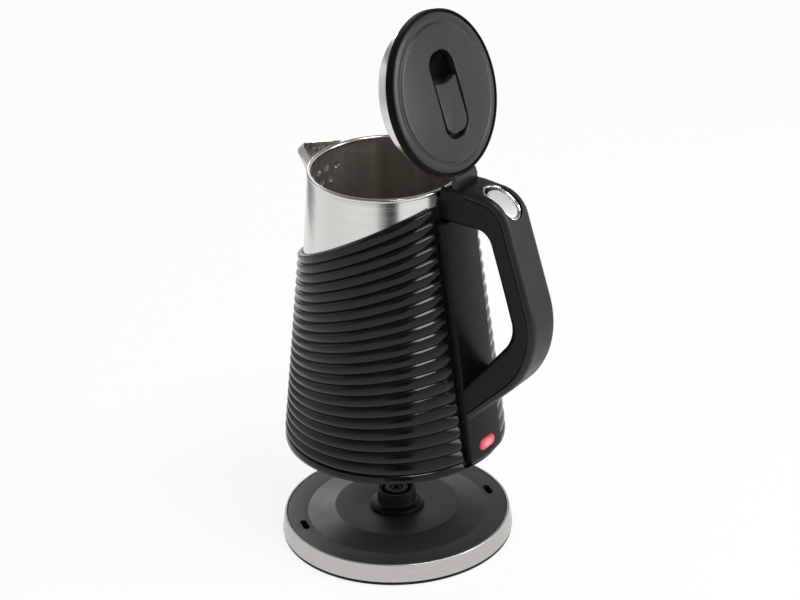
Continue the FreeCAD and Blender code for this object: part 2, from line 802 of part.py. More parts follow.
def make_bottom_cover():
    """The kettle's bottom: a foot ring, a hollow for the raised base and a flange under the shell."""
    wall = liner_radius(plate_top) - k.shell_clearance
    opening = k.socket_outer + k.seat_slack
    flange = k.shell_bottom_radius - k.rib_height / 2
    body = turned(
        "bottom_cover",
        raised(
            [
                (opening, k.recess_depth),
                (k.recess_radius, k.recess_depth),
                (k.recess_radius, 0),
                (flange, 0),
                (flange, k.shell_foot),
                (wall, k.shell_foot),
                (wall, plate_top),
                (opening, plate_top),
            ]
        ),
    )
    keep(body, "bottom_cover")


# Handle


def direction(first, second):
    run = size(second[0]).number - size(first[0]).number
    rise = size(second[1]).number - size(first[1]).number
    reach = math.hypot(run, rise)
    return run / reach, rise / reach


def inner_corner(before, corner, after, depth):
    """The corner of a clockwise outline, moved inwards by a depth."""
    a = direction(before, corner)
    b = direction(corner, after)
    turn = a[0] * b[1] - a[1] * b[0]
    return (corner[0] + depth * ((a[0] - b[0]) / turn), corner[1] + depth * ((a[1] - b[1]) / turn))


def handle_outline(depth=0):
    """Corners of the handle from the hinge over the grip to the lower arm, at a depth under its skin."""
    start = (k.handle_start, k.handle_top)
    top = (k.top_corner_x, k.top_corner_z)
    low = (k.low_corner_x, k.low_corner_z)
    end = (spine_face(k.arm_end_z), k.arm_end_z)
    depth = size(depth)
    drop = 1 / direction(start, top)[0]
    lift = 1 / abs(direction(low, end)[0])
    return [
        (start[0], start[1] - depth * drop),
        inner_corner(start, top, low, depth),
        inner_corner(top, low, end, depth),
        (end[0], end[1] + depth * lift),
    ]


def bend_centre():
    """Middle of the rounding of the handle's upper corner."""
    start, top, low, _ = handle_outline()
    return inner_corner(start, top, low, k.top_round)


def bend_rod(name, radius):
    """A rod across the handle, about the middle of its upper bend."""
    x, z = bend_centre()
    return rod(name, radius, k.handle_half * 4, x, k.handle_half * 2, up(z), -ACROSS)


def button_bar(name, length, width):
    """A bar with round ends along the travel of the release button, from the bend's middle outwards."""
    sketch = doc.addObject("Sketcher::SketchObject", name + "_outline")
    stadium(sketch, 0, 0, length, width)
    x, z = bend_centre()
    sketch.Placement = FreeCAD.Placement(Vector(), FreeCAD.Rotation(ACROSS, 90 - k.button_angle.number))
    place(sketch, x, 0, up(z))
    bar = doc.addObject("Part::Extrusion", name)
    bar.Base = sketch
    bar.DirMode = "Normal"
    bar.Solid = True
    bind(bar, "LengthFwd", k.top_round * 2)
    return bar


def make_spine():
    """The hollow spine between the ends of the shell, with a ledge along both sides."""
    face = spine_face(k.spine_knee)
    top_face = spine_face(k.spine_top)
    back = k.hinge_x / 2
    body = new_body("handle_spine")
    plate(
        body,
        "spine_front",
        raised(
            [
                (back, k.spine_foot),
                (face - k.spine_bevel, k.spine_foot),
                (face, k.spine_foot + k.spine_bevel),
                (face, k.spine_knee),
                (top_face, k.spine_top),
                (back, k.spine_top),
            ]
        ),
        k.spine_half * 2,
    )
    half = k.spine_half + k.spine_flange

    def ledge(height):
        return leg(crest_radius(height) - k.rib_height, half)

    ledge_low = k.spine_foot + k.spine_bevel
    plate(
        body,
        "spine_ledges",
        raised([(back, ledge_low), (ledge(ledge_low), ledge_low), (ledge(k.spine_top), k.spine_top), (back, k.spine_top)]),
        half * 2,
    )
    turn_away(
        body,
        "room_behind",
        raised(
            [
                (0, 0),
                (liner_radius(0), 0),
                (liner_radius(k.kettle_height), k.kettle_height),
                (0, k.kettle_height),
            ]
        ),
    )
    roof = k.spine_top - k.spine_wall
    plate(
        body,
        "hollow",
        raised(
            [
                (back, k.spine_foot + k.spine_wall),
                (spine_inside - k.spine_bevel + k.spine_wall, k.spine_foot + k.spine_wall),
                (spine_inside, k.spine_foot + k.spine_bevel),
                (spine_inside, k.spine_knee),
                (spine_face(roof) - k.spine_wall, roof),
                (back, roof),
            ]
        ),
        (k.spine_half - k.spine_wall) * 2,
        cut=True,
    )
    window = sketch_on(body, "YZ_Plane", "switch_window_outline")
    slack = 2 * k.switch_slack
    stadium(window, 0, up(k.switch_height), k.switch_length + slack, k.switch_width + slack)
    extrude(body, window, "switch_window", face * 2, "One side", cut=True, backwards=True)
    keep(body, "handle_spine")


def make_handle_cover():
    """Outer half of the loop, down to the parting line along its sides."""
    skin = raised(handle_outline())
    parting = raised(handle_outline(k.cover_depth))
    body = new_body("cover_blank")
    plate(body, "cover_band", skin + parting[::-1], k.handle_half * 2)
    round_edges(body, "top_bend", k.top_round, upright_at(skin[1]))
    round_edges(body, "low_bend", k.low_round, upright_at(skin[2]))
    round_edges(body, "parting_top_bend", k.top_round - k.cover_depth, upright_at(parting[1]))
    round_edges(body, "parting_low_bend", k.low_round - k.cover_depth, upright_at(parting[2]))
    bends = (k.top_round, k.low_round)
    round_edges(body, "soft_edges", k.edge_round, along_outline(skin, bends, k.handle_half))
    room = 2 * (k.bezel_width + k.button_slack + k.bezel_slack)
    window = button_bar("button_window", k.button_length + room, k.button_width + room)
    keep(without("handle_cover", body, [window]), "handle_cover")


def make_handle_frame():
    """Inner half of the loop, with the head that carries the hinge and a shoulder along the pot on both sides."""
    seat = handle_outline(k.cover_depth + k.seam)
    level = k.spine_top + k.seam
    front = k.pot_top_radius
    gap_top = (k.gap_top_x, level)
    gap_low = (k.gap_low_x, k.gap_low_z)
    arm_end = (seat[3][0] + k.seam, seat[3][1])
    arm_inner = (spine_face(k.arm_inner_z) + k.seam, k.arm_inner_z)
    body = new_body("frame_blank")
    loop = raised([(front, seat[0][1])] + seat[:3] + [arm_end, arm_inner, gap_low, gap_top, (front, level)])
    plate(body, "loop", loop, k.handle_half * 2)
    depth = k.cover_depth + k.seam
    round_edges(body, "seat_top_bend", k.top_round - depth, upright_at(loop[2]))
    round_edges(body, "seat_low_bend", k.low_round - depth, upright_at(loop[3]))
    round_edges(body, "gap_low_bend", k.gap_low_round, upright_at(loop[6]))
    round_edges(body, "gap_top_bend", k.gap_top_round, upright_at(loop[7]))
    back = k.handle_start - k.seam
    plate(
        body,
        "head",
        raised([(front, level), (back, level), (back, k.handle_top), (front, k.handle_top)]),
        k.handle_half * 2,
    )
    floor = k.hinge_z - k.knuckle_radius - k.hinge_room
    ceiling = k.handle_top + k.lid_edge
    slot_end = k.hinge_x + k.lid_edge
    slot = [(0, floor), (slot_end, floor), (slot_end, ceiling), (0, ceiling)]
    plate(body, "lid_slot", raised(slot), (k.handle_half - k.ear_wall) * 2, cut=True)
    shoulder_top = rim_middle - 4 / 3 * k.bead_radius

    def behind_pot(height):
        return liner_radius(height) + k.shell_clearance / 2

    behind_rim = behind_pot(level) + k.bead_radius
    turn_away(
        body,
        "room_for_pot_and_lid",
        raised(
            [
                (0, k.spine_knee),
                (behind_pot(level), k.spine_knee),
                (behind_pot(level), level),
                (behind_pot(shoulder_top), shoulder_top),
                (behind_rim, shoulder_top),
                (behind_rim, ceiling),
                (0, ceiling),
            ]
        ),
    )
    pin_hole = sketch_on(body, "XZ_Plane", "pin_hole_outline")
    circle(pin_hole, k.hinge_x, up(k.hinge_z), k.pin_radius + k.pin_clearance)
    extrude(body, pin_hole, "pin_hole", (k.handle_half - k.pin_end) * 2, cut=True)
    room = 2 * k.button_slack
    well = button_bar("button_well", k.button_length + room, k.button_width + room)
    lowest = k.button_drop + k.button_height + k.button_travel + k.button_room
    button_room = without("button_space", well, [bend_rod("button_floor", k.top_round - lowest)])
    half = k.spine_half + k.spine_flange
    ring = turned(
        "shoulder_ring",
        raised(
            [
                (behind_pot(level), level),
                (crest_radius(level) - k.rib_height, level),
                (crest_radius(shoulder_top) - k.rib_height, shoulder_top),
                (behind_pot(shoulder_top), shoulder_top),
            ]
        ),
    )
    between_ribs = block("shoulder_span", (0, -half, up(level)), (k.handle_start, half, up(k.kettle_height)))
    shoulder = shared("shoulder", [ring, between_ribs])
    keep(without("handle_frame", fused("frame_and_shoulder", [body, shoulder]), [button_room]), "handle_frame")

    reach = k.handle_half - k.pin_end - k.seam
    keep(rod("hinge_pin_rod", k.pin_radius, reach * 2, k.hinge_x, reach, up(k.hinge_z), -ACROSS), "hinge_pin")


def make_release_button():
    """Silver push button on the upper bend of the handle, in a bright frame."""
    opening = 2 * k.button_slack
    frame = opening + 2 * k.bezel_width
    outer = button_bar("bezel_outer", k.button_length + frame, k.button_width + frame)
    inner = button_bar("bezel_inner", k.button_length + opening, k.button_width + opening)
    skin = bend_rod("bezel_skin", k.top_round + k.bezel_rise)
    seat = bend_rod("bezel_seat", k.top_round - k.cover_depth)
    keep(without("button_bezel", shared("bezel_blank", [outer, skin]), [inner, seat]), "button_bezel")

    bar = button_bar("button_blank", k.button_length, k.button_width)
    face = bend_rod("button_face", k.top_round - k.button_drop)
    under = bend_rod("button_under", k.top_round - k.button_drop - k.button_height)
    keep(without("release_button", shared("button_front", [bar, face]), [under]), "release_button")


# Power switch and steam switch


def make_power_switch():
    """Red rocker cap at the foot of the spine, with a pivot on each side."""
    front = spine_face(k.switch_height) + k.switch_proud
    back = front - k.switch_depth
    body = new_body("power_switch")
    cap = sketch_on(body, "YZ_Plane", "cap_outline", back)
    stadium(cap, 0, up(k.switch_height), k.switch_length, k.switch_width)
    extrude(body, cap, "cap", k.switch_depth, "One side")
    walls = 2 * k.switch_wall
    hollow = sketch_on(body, "YZ_Plane", "cap_hollow_outline", back)
    stadium(hollow, 0, up(k.switch_height), k.switch_length - walls, k.switch_width - walls)
    extrude(body, hollow, "cap_hollow", k.switch_depth - k.switch_wall, "One side", cut=True, backwards=True)
    pivot = spine_face(k.switch_height) - k.switch_pivot
    reach = k.switch_length / 2 + k.trunnion_length
    length = k.trunnion_length + k.switch_wall / 2
    for side, offset in (("near", reach - length), ("far", -reach)):
        stub = sketch_on(body, "XZ_Plane", f"{side}_pivot_outline", offset)
        circle(stub, pivot, up(k.switch_height), k.trunnion)
        extrude(body, stub, f"{side}_pivot", length, "One side")
    keep(body, "power_switch")


def make_steam_switch():
    """Housing in the foot of the spine that carries the rocker, its lamp and the snap disc."""
    pivot = spine_face(k.switch_height) - k.switch_pivot
    half = k.switch_width / 2 + 1
    low = up(plate_top + k.shell_clearance)
    rocker_back = spine_face(k.switch_height) + k.switch_proud - k.switch_depth
    face = rocker_back - 1
    shelf = up(k.switch_height + half)
    top = up(spreader_under - 1)
    inner = k.switch_length / 2 + k.trunnion_slack * 4
    outer = k.switch_length / 2 + k.trunnion_length
    parts = [
        block("steam_case", (k.steam_box_back, -k.steam_box_half, low), (face, k.steam_box_half, shelf)),
        block("steam_roof", (k.steam_box_back, -outer, shelf), (spine_inside - k.shell_clearance, outer, top)),
    ]
    for name, near, far in (("near_arm", -outer, -inner), ("far_arm", inner, outer)):
        parts.append(block(name, (face - 2, near, up(k.switch_height - half / 2)), (spine_inside - k.shell_clearance, far, shelf)))
    for name, near, far in (("near_link", -outer, -k.steam_box_half), ("far_link", k.steam_box_half, outer)):
        parts.append(block(name, (face - 2, near, low + half), (face, far, shelf)))
    bearing = rod(
        "pivot_bearing", k.trunnion + k.trunnion_slack, outer * 3, pivot, outer * 1.5, up(k.switch_height), -ACROSS
    )
    keep(without("steam_switch", fused("steam_blank", parts), [bearing]), "steam_switch")
    middle = up(k.switch_height + 1)
    start = k.steam_box_back - k.bimetal_thickness
    keep(rod("snap_disc", k.bimetal_radius, k.bimetal_thickness, start, 0, middle, FORWARD), "bimetal_disc")
    keep(rod("lamp", k.lamp_radius, k.lamp_length, face, 0, up(k.switch_height), FORWARD), "indicator_lamp")


def make_steam_path():
    """Elbow behind the steam inlet, and the tube down the spine to the steam switch."""
    wall_inside = on_line(pot_low, pot_high, k.steam_height) - 2 * k.pot_wall
    behind = liner_radius(k.steam_height - k.elbow_reach) + k.shell_clearance
    front = spine_face(k.steam_height + k.elbow_reach) - k.spine_wall - k.seam
    level = up(k.steam_height)
    top = (behind + front) / 2
    low_end = spreader_under - 1
    low = k.pot_bottom_radius + k.shell_clearance * 1.5 + k.tube_radius
    run = (low - top).number
    rise = (low_end - k.steam_height).number
    axis = Vector(run, 0, rise)
    length = math.hypot(run, rise)
    body = block(
        "elbow_case",
        (behind, -k.elbow_half, level - k.elbow_reach),
        (front, k.elbow_half, level + k.tube_radius + k.spine_wall),
    )
    spigot = rod("spigot", k.steam_hole - k.seat_slack, behind - wall_inside, wall_inside, 0, level, FORWARD)
    inlet = rod("elbow_inlet", k.tube_bore, top - wall_inside, wall_inside, 0, level, FORWARD)
    outlet = rod("elbow_outlet", k.tube_radius + k.bezel_slack, length, top, 0, level, axis)
    keep(without("steam_elbow", fused("elbow_blank", [body, spigot]), [inlet, outlet]), "steam_elbow")
    start = k.tube_radius.number / length
    x = top + (low - top) * start
    z = level + (low_end - k.steam_height) * start
    share = length * (1 - start) - 1
    tube = rod("tube_outside", k.tube_radius, share, x, 0, z, axis)
    bore = rod("tube_inside", k.tube_bore, length, x, 0, z, axis)
    keep(without("steam_tube", tube, [bore]), "steam_tube")


# Lid, drawn closed and then swung open about its hinge


def swing_open(piece):
    hinge = Vector(k.hinge_x.number, 0, up(k.hinge_z).number)
    piece.Placement = FreeCAD.Placement(Vector(), FreeCAD.Rotation(ACROSS, k.lid_open.number), hinge)


def make_lid():
    """Round lid: black body with hinge lug and finger well, grey cover, steel plug, seal and catch."""
    under = k.kettle_height + k.lid_lift
    bed = under + k.lid_floor
    edge = under + k.lid_edge
    rim = k.lid_radius - k.lid_rim
    body = turned(
        "lid_body", raised([(0, under), (k.lid_radius, under), (k.lid_radius, edge), (rim, edge), (rim, bed), (0, bed)])
    )
    width = (k.handle_half - k.ear_wall - k.hinge_slack) * 2
    lug = [(rim - k.lid_edge, under), (k.hinge_x, under), (k.hinge_x, edge), (rim, edge), (rim, bed), (rim - k.lid_edge, bed)]
    plate(body, "lug", raised(lug), width)
    knuckle = sketch_on(body, "XZ_Plane", "knuckle_outline")
    circle(knuckle, k.hinge_x, up(k.hinge_z), k.knuckle_radius)
    extrude(body, knuckle, "knuckle", width)
    pin_hole = sketch_on(body, "XZ_Plane", "knuckle_bore_outline")
    circle(pin_hole, k.hinge_x, up(k.hinge_z), k.pin_radius + k.pin_clearance)
    extrude(body, pin_hole, "knuckle_bore", width * 2, cut=True)
    middle = (k.well_length - k.recess_length) / 2
    wall = 2 * k.well_wall
    cup = sketch_on(body, "XY_Plane", "cup_outline", up(under - k.well_depth))
    stadium(cup, middle, 0, k.well_length + wall, k.recess_width + wall)
    extrude(body, cup, "cup", k.well_depth, "One side")
    well = sketch_on(body, "XY_Plane", "well_outline", up(bed))
    stadium(well, middle, 0, k.well_length, k.recess_width)
    extrude(body, well, "well", k.well_depth + k.lid_floor - k.well_wall, "One side", cut=True)
    keep(body, "lid_body")

    radius = rim - k.lid_slack
    shoulder = bed + k.cover_edge
    ring, half = k.groove_radius, k.groove_half
    cover = turned(
        "lid_cover",
        raised(
            [
                (0, bed),
                (radius, bed),
                (radius, shoulder),
                (ring + half, shoulder + half / 2),
                (ring, shoulder - half / 2),
                (ring - half, shoulder + half / 2),
                (0, shoulder + half / 2 + k.lid_crown),
            ]
        ),
    )
    recess = sketch_on(cover, "XY_Plane", "recess_outline", up(bed))
    stadium(recess, 0, 0, k.recess_length, k.recess_width)
    extrude(cover, recess, "recess", k.lid_edge * 4, cut=True)
    keep(cover, "lid_cover")

    low = under - k.plug_depth
    inset = k.plug_wall
    plug = turned(
        "lid_plate",
        raised(
            [
                (0, low),
                (k.plug_radius - k.plug_bevel, low),
                (k.plug_radius, low + k.plug_bevel),
                (k.plug_radius, under),
                (k.plug_radius - inset, under),
                (k.plug_radius - inset, low + k.plug_bevel + inset / 2),
                (k.plug_radius - k.plug_bevel - inset / 2, low + inset),
                (0, low + inset),
            ]
        ),
    )
    keep(plug, "lid_plate")
    lip = k.plug_radius + k.seal_slack
    seal = turned("lid_seal", raised([(lip, under), (k.seal_radius, under), (lip, under - k.seal_height)]))
    keep(seal, "lid_seal")

    catch = new_body("lid_catch")
    across = k.recess_width - 2 * k.catch_slack
    rear = k.recess_length / 2 - k.catch_slack - k.catch_travel
    slab = sketch_on(catch, "XY_Plane", "slab_outline", up(bed + k.catch_lift))
    stadium(slab, rear - (k.catch_length + across) / 2, 0, k.catch_length + across, across)
    extrude(catch, slab, "slab", k.catch_thickness, "One side")
    front = sketch_on(catch, "XY_Plane", "front_outline", up(bed + k.catch_lift))
    stadium(front, rear - k.catch_length - 2 * k.catch_hollow, 0, k.catch_hollow * 4, k.catch_hollow * 2)
    extrude(catch, front, "hollow_front", k.catch_thickness * 3, cut=True)
    keep(catch, "lid_catch")
    for piece in (body, cover, plug, seal, catch):
        swing_open(piece)


# Base


def make_base():
    """Steel ring, black cover with drain slots, plate with a rubber foot, and the inlet of the lead."""
    wall = k.base_ring_wall
    heading = math.radians(k.inlet_turn.number)
    outwards = Vector(math.cos(heading), math.sin(heading), 0)
    start = k.base_radius + k.inlet_proud - k.inlet_length
    where = (start * outwards.x, start * outwards.y, k.inlet_height)

    def inlet_room(name):
        return rod(name, k.inlet_bore + k.inlet_wall + k.seat_slack, k.inlet_length * 2, *where, outwards)

    ring = turned(
        "ring_blank",
        [
            (k.base_radius, base_floor),
            (k.base_top_radius, k.base_height),
            (k.base_top_radius - wall, k.base_height),
            (k.base_radius - wall, base_floor),
        ],
    )
    keep(without("base_ring", ring, [inlet_room("ring_hole")]), "base_ring")

    edge = k.base_top_radius - wall - k.base_slack
    hole = k.turret_radius + k.turret_slack
    cover = turned(
        "cover_disc",
        [
            (hole, dome_top),
            (k.dome_radius, dome_top),
            (k.dome_outer_radius, base_top),
            (edge, base_top),
            (edge, base_floor),
            (hole, base_floor),
        ],
    )
    drains = [drain_slot(index) for index in range(2)]
    keep(without("base_cover", cover, drains + [inlet_room("cover_hole")]), "base_cover")

    plate_edge = k.base_radius - k.edge_inset
    disc = turned(
        "base_plate",
        [(0, k.foot_thickness), (plate_edge, k.foot_thickness), (plate_edge, base_floor), (0, base_floor)],
    )
    keep(disc, "base_plate")
    half = k.foot_ring_width / 2
    inside, outside = k.foot_ring_radius - half, k.foot_ring_radius + half
    foot = turned("foot_ring", [(inside, 0), (outside, 0), (outside, k.foot_thickness), (inside, k.foot_thickness)])
    keep(foot, "foot_ring")
    sleeve = rod("inlet_sleeve", k.inlet_bore + k.inlet_wall, k.inlet_length, *where, outwards)
    bore = rod("inlet_passage", k.inlet_bore, k.inlet_length * 2, *where, outwards)
    keep(without("cord_inlet", sleeve, [bore]), "cord_inlet")


def drain_slot(index):
    """A slot along the ring of the base cover, right through it."""
    sketch = doc.addObject("Sketcher::SketchObject", f"drain_slot_outline_{index}")
    stadium(sketch, 0, 0, k.drain_length, k.drain_width)
    turn = k.drain_turn.number + 180 * index
    sketch.Placement = FreeCAD.Placement(Vector(), FreeCAD.Rotation(UP, turn + 90))
    heading = math.radians(turn)
    place(sketch, k.drain_circle * math.cos(heading), k.drain_circle * math.sin(heading), k.foot_thickness)
    slot = doc.addObject("Part::Extrusion", f"drain_slot_{index}")
    slot.Base = sketch
    slot.DirMode = "Normal"
    slot.Solid = True
    bind(slot, "LengthFwd", k.base_height * 2)
    return slot


def make_turret():
    """Round connector of the base, which turns with the docked kettle."""
    collar = dome_top + k.turret_slack
    shoulder = dome_top + k.skirt_height
    turret = turned(
        "turret",
        [
            (0, base_floor + k.turret_slack),
            (k.turret_radius, base_floor + k.turret_slack),
            (k.turret_radius, collar),
            (k.skirt_radius, collar),
            (k.skirt_radius, collar + k.skirt_height / 2),
            (k.turret_radius, shoulder),
            (k.turret_radius, turret_top),
            (k.groove_outer, turret_top),
            (k.groove_outer, turret_top - k.groove_depth),
            (k.groove_inner, turret_top - k.groove_depth),
            (k.groove_inner, turret_top),
            (k.earth_hole, turret_top),
            (k.earth_hole, turret_top - k.earth_depth),
            (0, turret_top - k.earth_depth),
        ],
    )
    keep(turret, "turret")


def finish():
    """Checks every object and every solid, then writes one file for each node."""
    doc.recompute()
    for thing in doc.Objects:
        if "Invalid" in thing.State or "Error" in thing.State:
            raise RuntimeError(f"{thing.Name} did not build: {thing.State}")
    os.makedirs("parts", exist_ok=True)
    for piece in nodes:
        shape = piece.Shape
        if shape.isNull() or not shape.isValid() or not shape.Solids:
            raise RuntimeError(f"{piece.Label} has no valid solid")
        shape.exportStep(f"parts/{piece.Label}.step")
        print(piece.Label, len(shape.Solids), round(shape.Volume))


make_pot()
make_spout()
make_shell()
make_heater()
make_socket()
make_bottom_cover()
make_spine()
make_handle_cover()
make_handle_frame()
make_release_button()
make_power_switch()
make_steam_switch()
make_steam_path()
make_lid()
make_base()
make_turret()
finish()
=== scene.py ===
# %% [markdown]
# # An electric kettle above its power base
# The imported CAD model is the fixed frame: it says where every piece sits and what moves. This lesson lays
# finer surfaces over it. Each one is worked out as an array of points, because a lathe profile or a swept
# section is exactly how such a kettle is pressed and moulded.

# %% Tools and the fixed frame
import math

import bmesh
import bpy
import numpy as np
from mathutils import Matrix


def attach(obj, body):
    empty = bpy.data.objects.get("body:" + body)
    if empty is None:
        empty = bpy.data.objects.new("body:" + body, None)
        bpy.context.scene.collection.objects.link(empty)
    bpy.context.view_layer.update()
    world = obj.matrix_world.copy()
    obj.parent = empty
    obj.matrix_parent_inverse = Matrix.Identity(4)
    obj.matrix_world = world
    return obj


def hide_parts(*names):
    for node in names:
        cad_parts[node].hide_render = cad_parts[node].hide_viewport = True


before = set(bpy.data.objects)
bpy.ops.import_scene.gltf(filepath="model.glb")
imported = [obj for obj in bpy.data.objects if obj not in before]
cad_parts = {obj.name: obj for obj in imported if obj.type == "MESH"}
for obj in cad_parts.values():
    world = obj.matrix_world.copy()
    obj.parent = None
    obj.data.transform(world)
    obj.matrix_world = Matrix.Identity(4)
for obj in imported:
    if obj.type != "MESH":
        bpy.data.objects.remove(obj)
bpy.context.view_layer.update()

# %% [markdown]
# ## Grids of points
# A surface is a grid with rows and columns. It is closed by wrapping rows or columns round, or by a flat
# cap on an end row. The texture places run along the rows and columns in decimetres, so brushed grain can
# follow the surface.


# %% Grids of points
def patch(points, wrap_rows=False, wrap_cols=False, caps=(False, False), finish=0):
    """One grid of points (rows, columns, xyz) in millimetres, with what closes it."""
    points = np.asarray(points, float)
    return {"points": points, "wrap": (wrap_rows, wrap_cols), "caps": caps, "finish": finish}


def body_of_loops(points, finish=0):
    """A grid whose rows are closed loops, with a flat cap on the first and on the last of them."""
    return patch(points, wrap_cols=True, caps=(True, True), finish=finish)


def running_length(points, axis):
    """Running length along one direction of a grid, averaged over the other, with the closing step."""
    closed = np.concatenate([points, points.take([0], axis)], axis)
    steps = np.linalg.norm(np.diff(closed, axis=axis), axis=2).mean(1 - axis)
    return np.concatenate([[0], np.cumsum(steps)]) * 0.01


def patch_faces(grid):
    """Corners and texture places: cell (r, c) joins points (r, c), (r, c+1), (r+1, c+1) and (r+1, c)."""
    points = grid["points"]
    rows, cols = points.shape[:2]
    cells_along, cells_across = rows - 1 + grid["wrap"][0], cols - 1 + grid["wrap"][1]
    r, c = np.meshgrid(np.arange(cells_along), np.arange(cells_across), indexing="ij")
    across = np.stack([c, c + 1, c + 1, c], -1)
    along = np.stack([r, r, r + 1, r + 1], -1)
    faces = ((along % rows) * cols + across % cols).reshape(-1, 4).tolist()
    places = np.stack([running_length(points, 1)[across], running_length(points, 0)[along]], -1)
    places = places.reshape(-1, 2)
    for row, wanted in zip((0, rows - 1), grid["caps"]):
        if wanted:
            faces.append(list(range(row * cols, row * cols + cols)))
            places = np.concatenate([places, points[row, :, :2] * 0.01])
    return faces, places


test_grid = patch(np.zeros((3, 4, 3)), wrap_cols=True)
print("3 rows of 4 points, closed round, make", len(patch_faces(test_grid)[0]), "cells")

# %% [markdown]
# ## Pieces
# A piece is a few grids in one mesh. It rides on a body of the frame and stands in for the CAD nodes that
# it shows more finely. Holes and windows are cut by an exact boolean, one cutter at a time, because
# cutters that overlap must not be joined.

# %% Meshes, cuts and pieces
MM = 0.001  # metres in a millimetre


def new_mesh(name, grids):
    """Joins grids into one mesh, merges their common edges and turns all faces outwards."""
    vertices, faces, places, finishes = [], [], [], []
    start = 0
    for grid in grids:
        cells, spots = patch_faces(grid)
        vertices.append(grid["points"].reshape(-1, 3) * MM)
        faces += [[corner + start for corner in cell] for cell in cells]
        places.append(spots)
        finishes += [grid["finish"]] * len(cells)
        start += grid["points"].shape[0] * grid["points"].shape[1]
    mesh = bpy.data.meshes.new(name)
    mesh.from_pydata(np.concatenate(vertices), [], faces)
    mesh.uv_layers.new(name="UVMap").data.foreach_set("uv", np.concatenate(places).astype(np.float32).ravel())
    mesh.polygons.foreach_set("material_index", np.array(finishes, np.int32))
    work = bmesh.new()
    work.from_mesh(mesh)
    bmesh.ops.remove_doubles(work, verts=work.verts, dist=2e-6)
    bmesh.ops.dissolve_degenerate(work, edges=work.edges, dist=1e-7)
    bmesh.ops.recalc_face_normals(work, faces=work.faces)
    work.to_mesh(mesh)
    work.free()
    return mesh


def cut_away(piece, grid):
    """Takes one closed shape out of a piece with an exact boolean, and keeps the result as its own mesh."""
    tool = bpy.data.objects.new("cutter", new_mesh("cutter", [grid]))
    bpy.context.scene.collection.objects.link(tool)
    cut = piece.modifiers.new("cut", "BOOLEAN")
    cut.operation, cut.solver, cut.object = "DIFFERENCE", "EXACT", tool
    bpy.context.view_layer.update()
    result = bpy.data.meshes.new_from_object(piece.evaluated_get(bpy.context.evaluated_depsgraph_get()))
    piece.modifiers.clear()
    piece.data = result
    bpy.data.objects.remove(tool)


def add_piece(name, body, finishes, grids, nodes=(), sharp=32.0, cutters=()):
    """Makes a piece of grids, gives it its finishes, and hangs it on a body in place of its CAD nodes."""
    piece = bpy.data.objects.new(name, new_mesh(name, grids))
    bpy.context.scene.collection.objects.link(piece)
    for finish in finishes:
        piece.data.materials.append(finish)
    for grid in cutters:
        cut_away(piece, grid)
    piece.data.shade_smooth()
    piece.data.set_sharp_from_angle(angle=math.radians(sharp))
    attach(piece, body)
    if nodes:
        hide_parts(*nodes)
    print(f"{name}: {len(piece.data.vertices)} points on {body}")
    return piece


print("pieces are drawn in millimetres, and a mesh holds", MM, "of that number")

# %% [markdown]
# ## Outlines
# Turned and moulded pieces never have razor edges, and the soft edges catch the light. So outlines are
# drawn by their corners, and each corner is swapped for an arc. A bar is drawn by its angle instead, so
# that it has one point for each point of a circle and can be blended into it.


# %% Rounded outlines
def rounded(corners, radii, steps=6, closed=False):
    """Polyline whose corner i becomes an arc of radii[i], tangent to both sides; open ends stay."""
    corners = np.asarray(corners, float)
    last = len(corners) - 1
    pieces = []
    for i, radius in enumerate(radii):
        if radius == 0 or (not closed and i in (0, last)):
            pieces.append(corners[i : i + 1])
            continue
        before, after = corners[i - 1] - corners[i], corners[(i + 1) % (last + 1)] - corners[i]
        reach = np.linalg.norm(before), np.linalg.norm(after)
        before, after = before / reach[0], after / reach[1]
        half = math.acos(np.clip(before @ after, -1, 1)) / 2
        if half > math.pi / 2 - 1e-4:
            pieces.append(corners[i : i + 1])
            continue
        back = min(radius / math.tan(half), 0.49 * min(reach))
        middle = corners[i] + (before + after) / np.linalg.norm(before + after) * back / math.cos(half)
        first, second = corners[i] + before * back - middle, corners[i] + after * back - middle
        sweep = math.pi - 2 * half
        t = np.linspace(0, 1, steps + 1)[:, None]
        blend_of_ends = np.sin((1 - t) * sweep) * first + np.sin(t * sweep) * second
        pieces.append(middle + blend_of_ends / math.sin(sweep))
    return np.concatenate(pieces)


def arc(centre, radius, start, end, steps=12):
    """Points of a circle arc between two angles in degrees."""
    angle = np.radians(np.linspace(start, end, steps + 1))
    return np.stack([centre[0] + radius * np.cos(angle), centre[1] + radius * np.sin(angle)], -1)


def polar_bar(length, width, centre=0.0, corner=None, count=256):
    """Outline of a bar by its angle, with rounded corners, or with round ends when no corner is given.

    A ray from the middle meets a side, an end or a corner arc, and each case gives its length.
    """
    angle = np.arange(count) * 2 * math.pi / count
    corner = width / 2 if corner is None else corner
    sine, cosine = np.abs(np.sin(angle)) + 1e-12, np.abs(np.cos(angle)) + 1e-12
    x, y = length / 2 - corner, width / 2 - corner
    near = x * cosine + y * sine
    radius = near + np.sqrt(np.maximum(corner**2 - x * x - y * y + near**2, 0))
    radius = np.where(length / 2 * sine / cosine < y, length / 2 / cosine, radius)
    radius = np.where(width / 2 * cosine / sine < x, width / 2 / sine, radius)
    return np.stack([radius * np.cos(angle) + centre, radius * np.sin(angle)], -1)


def ring(radius, count=256):
    """A circle by its angle, matching polar_bar point for point."""
    angle = np.arange(count) * 2 * math.pi / count
    return radius * np.stack([np.cos(angle), np.sin(angle)], -1)


def inset(outline, depth):
    """A closed outline moved inwards along its own normals, found from the neighbours of each point."""
    ahead = np.roll(outline, -1, 0) - np.roll(outline, 1, 0)
    normal = np.stack([-ahead[:, 1], ahead[:, 0]], -1) / np.linalg.norm(ahead, axis=1, keepdims=True)
    return outline + normal * depth


square = [(0, 0), (10, 0), (10, 10), (0, 10)]
print("a square with four soft corners has", len(rounded(square, [2] * 4, closed=True)), "points")

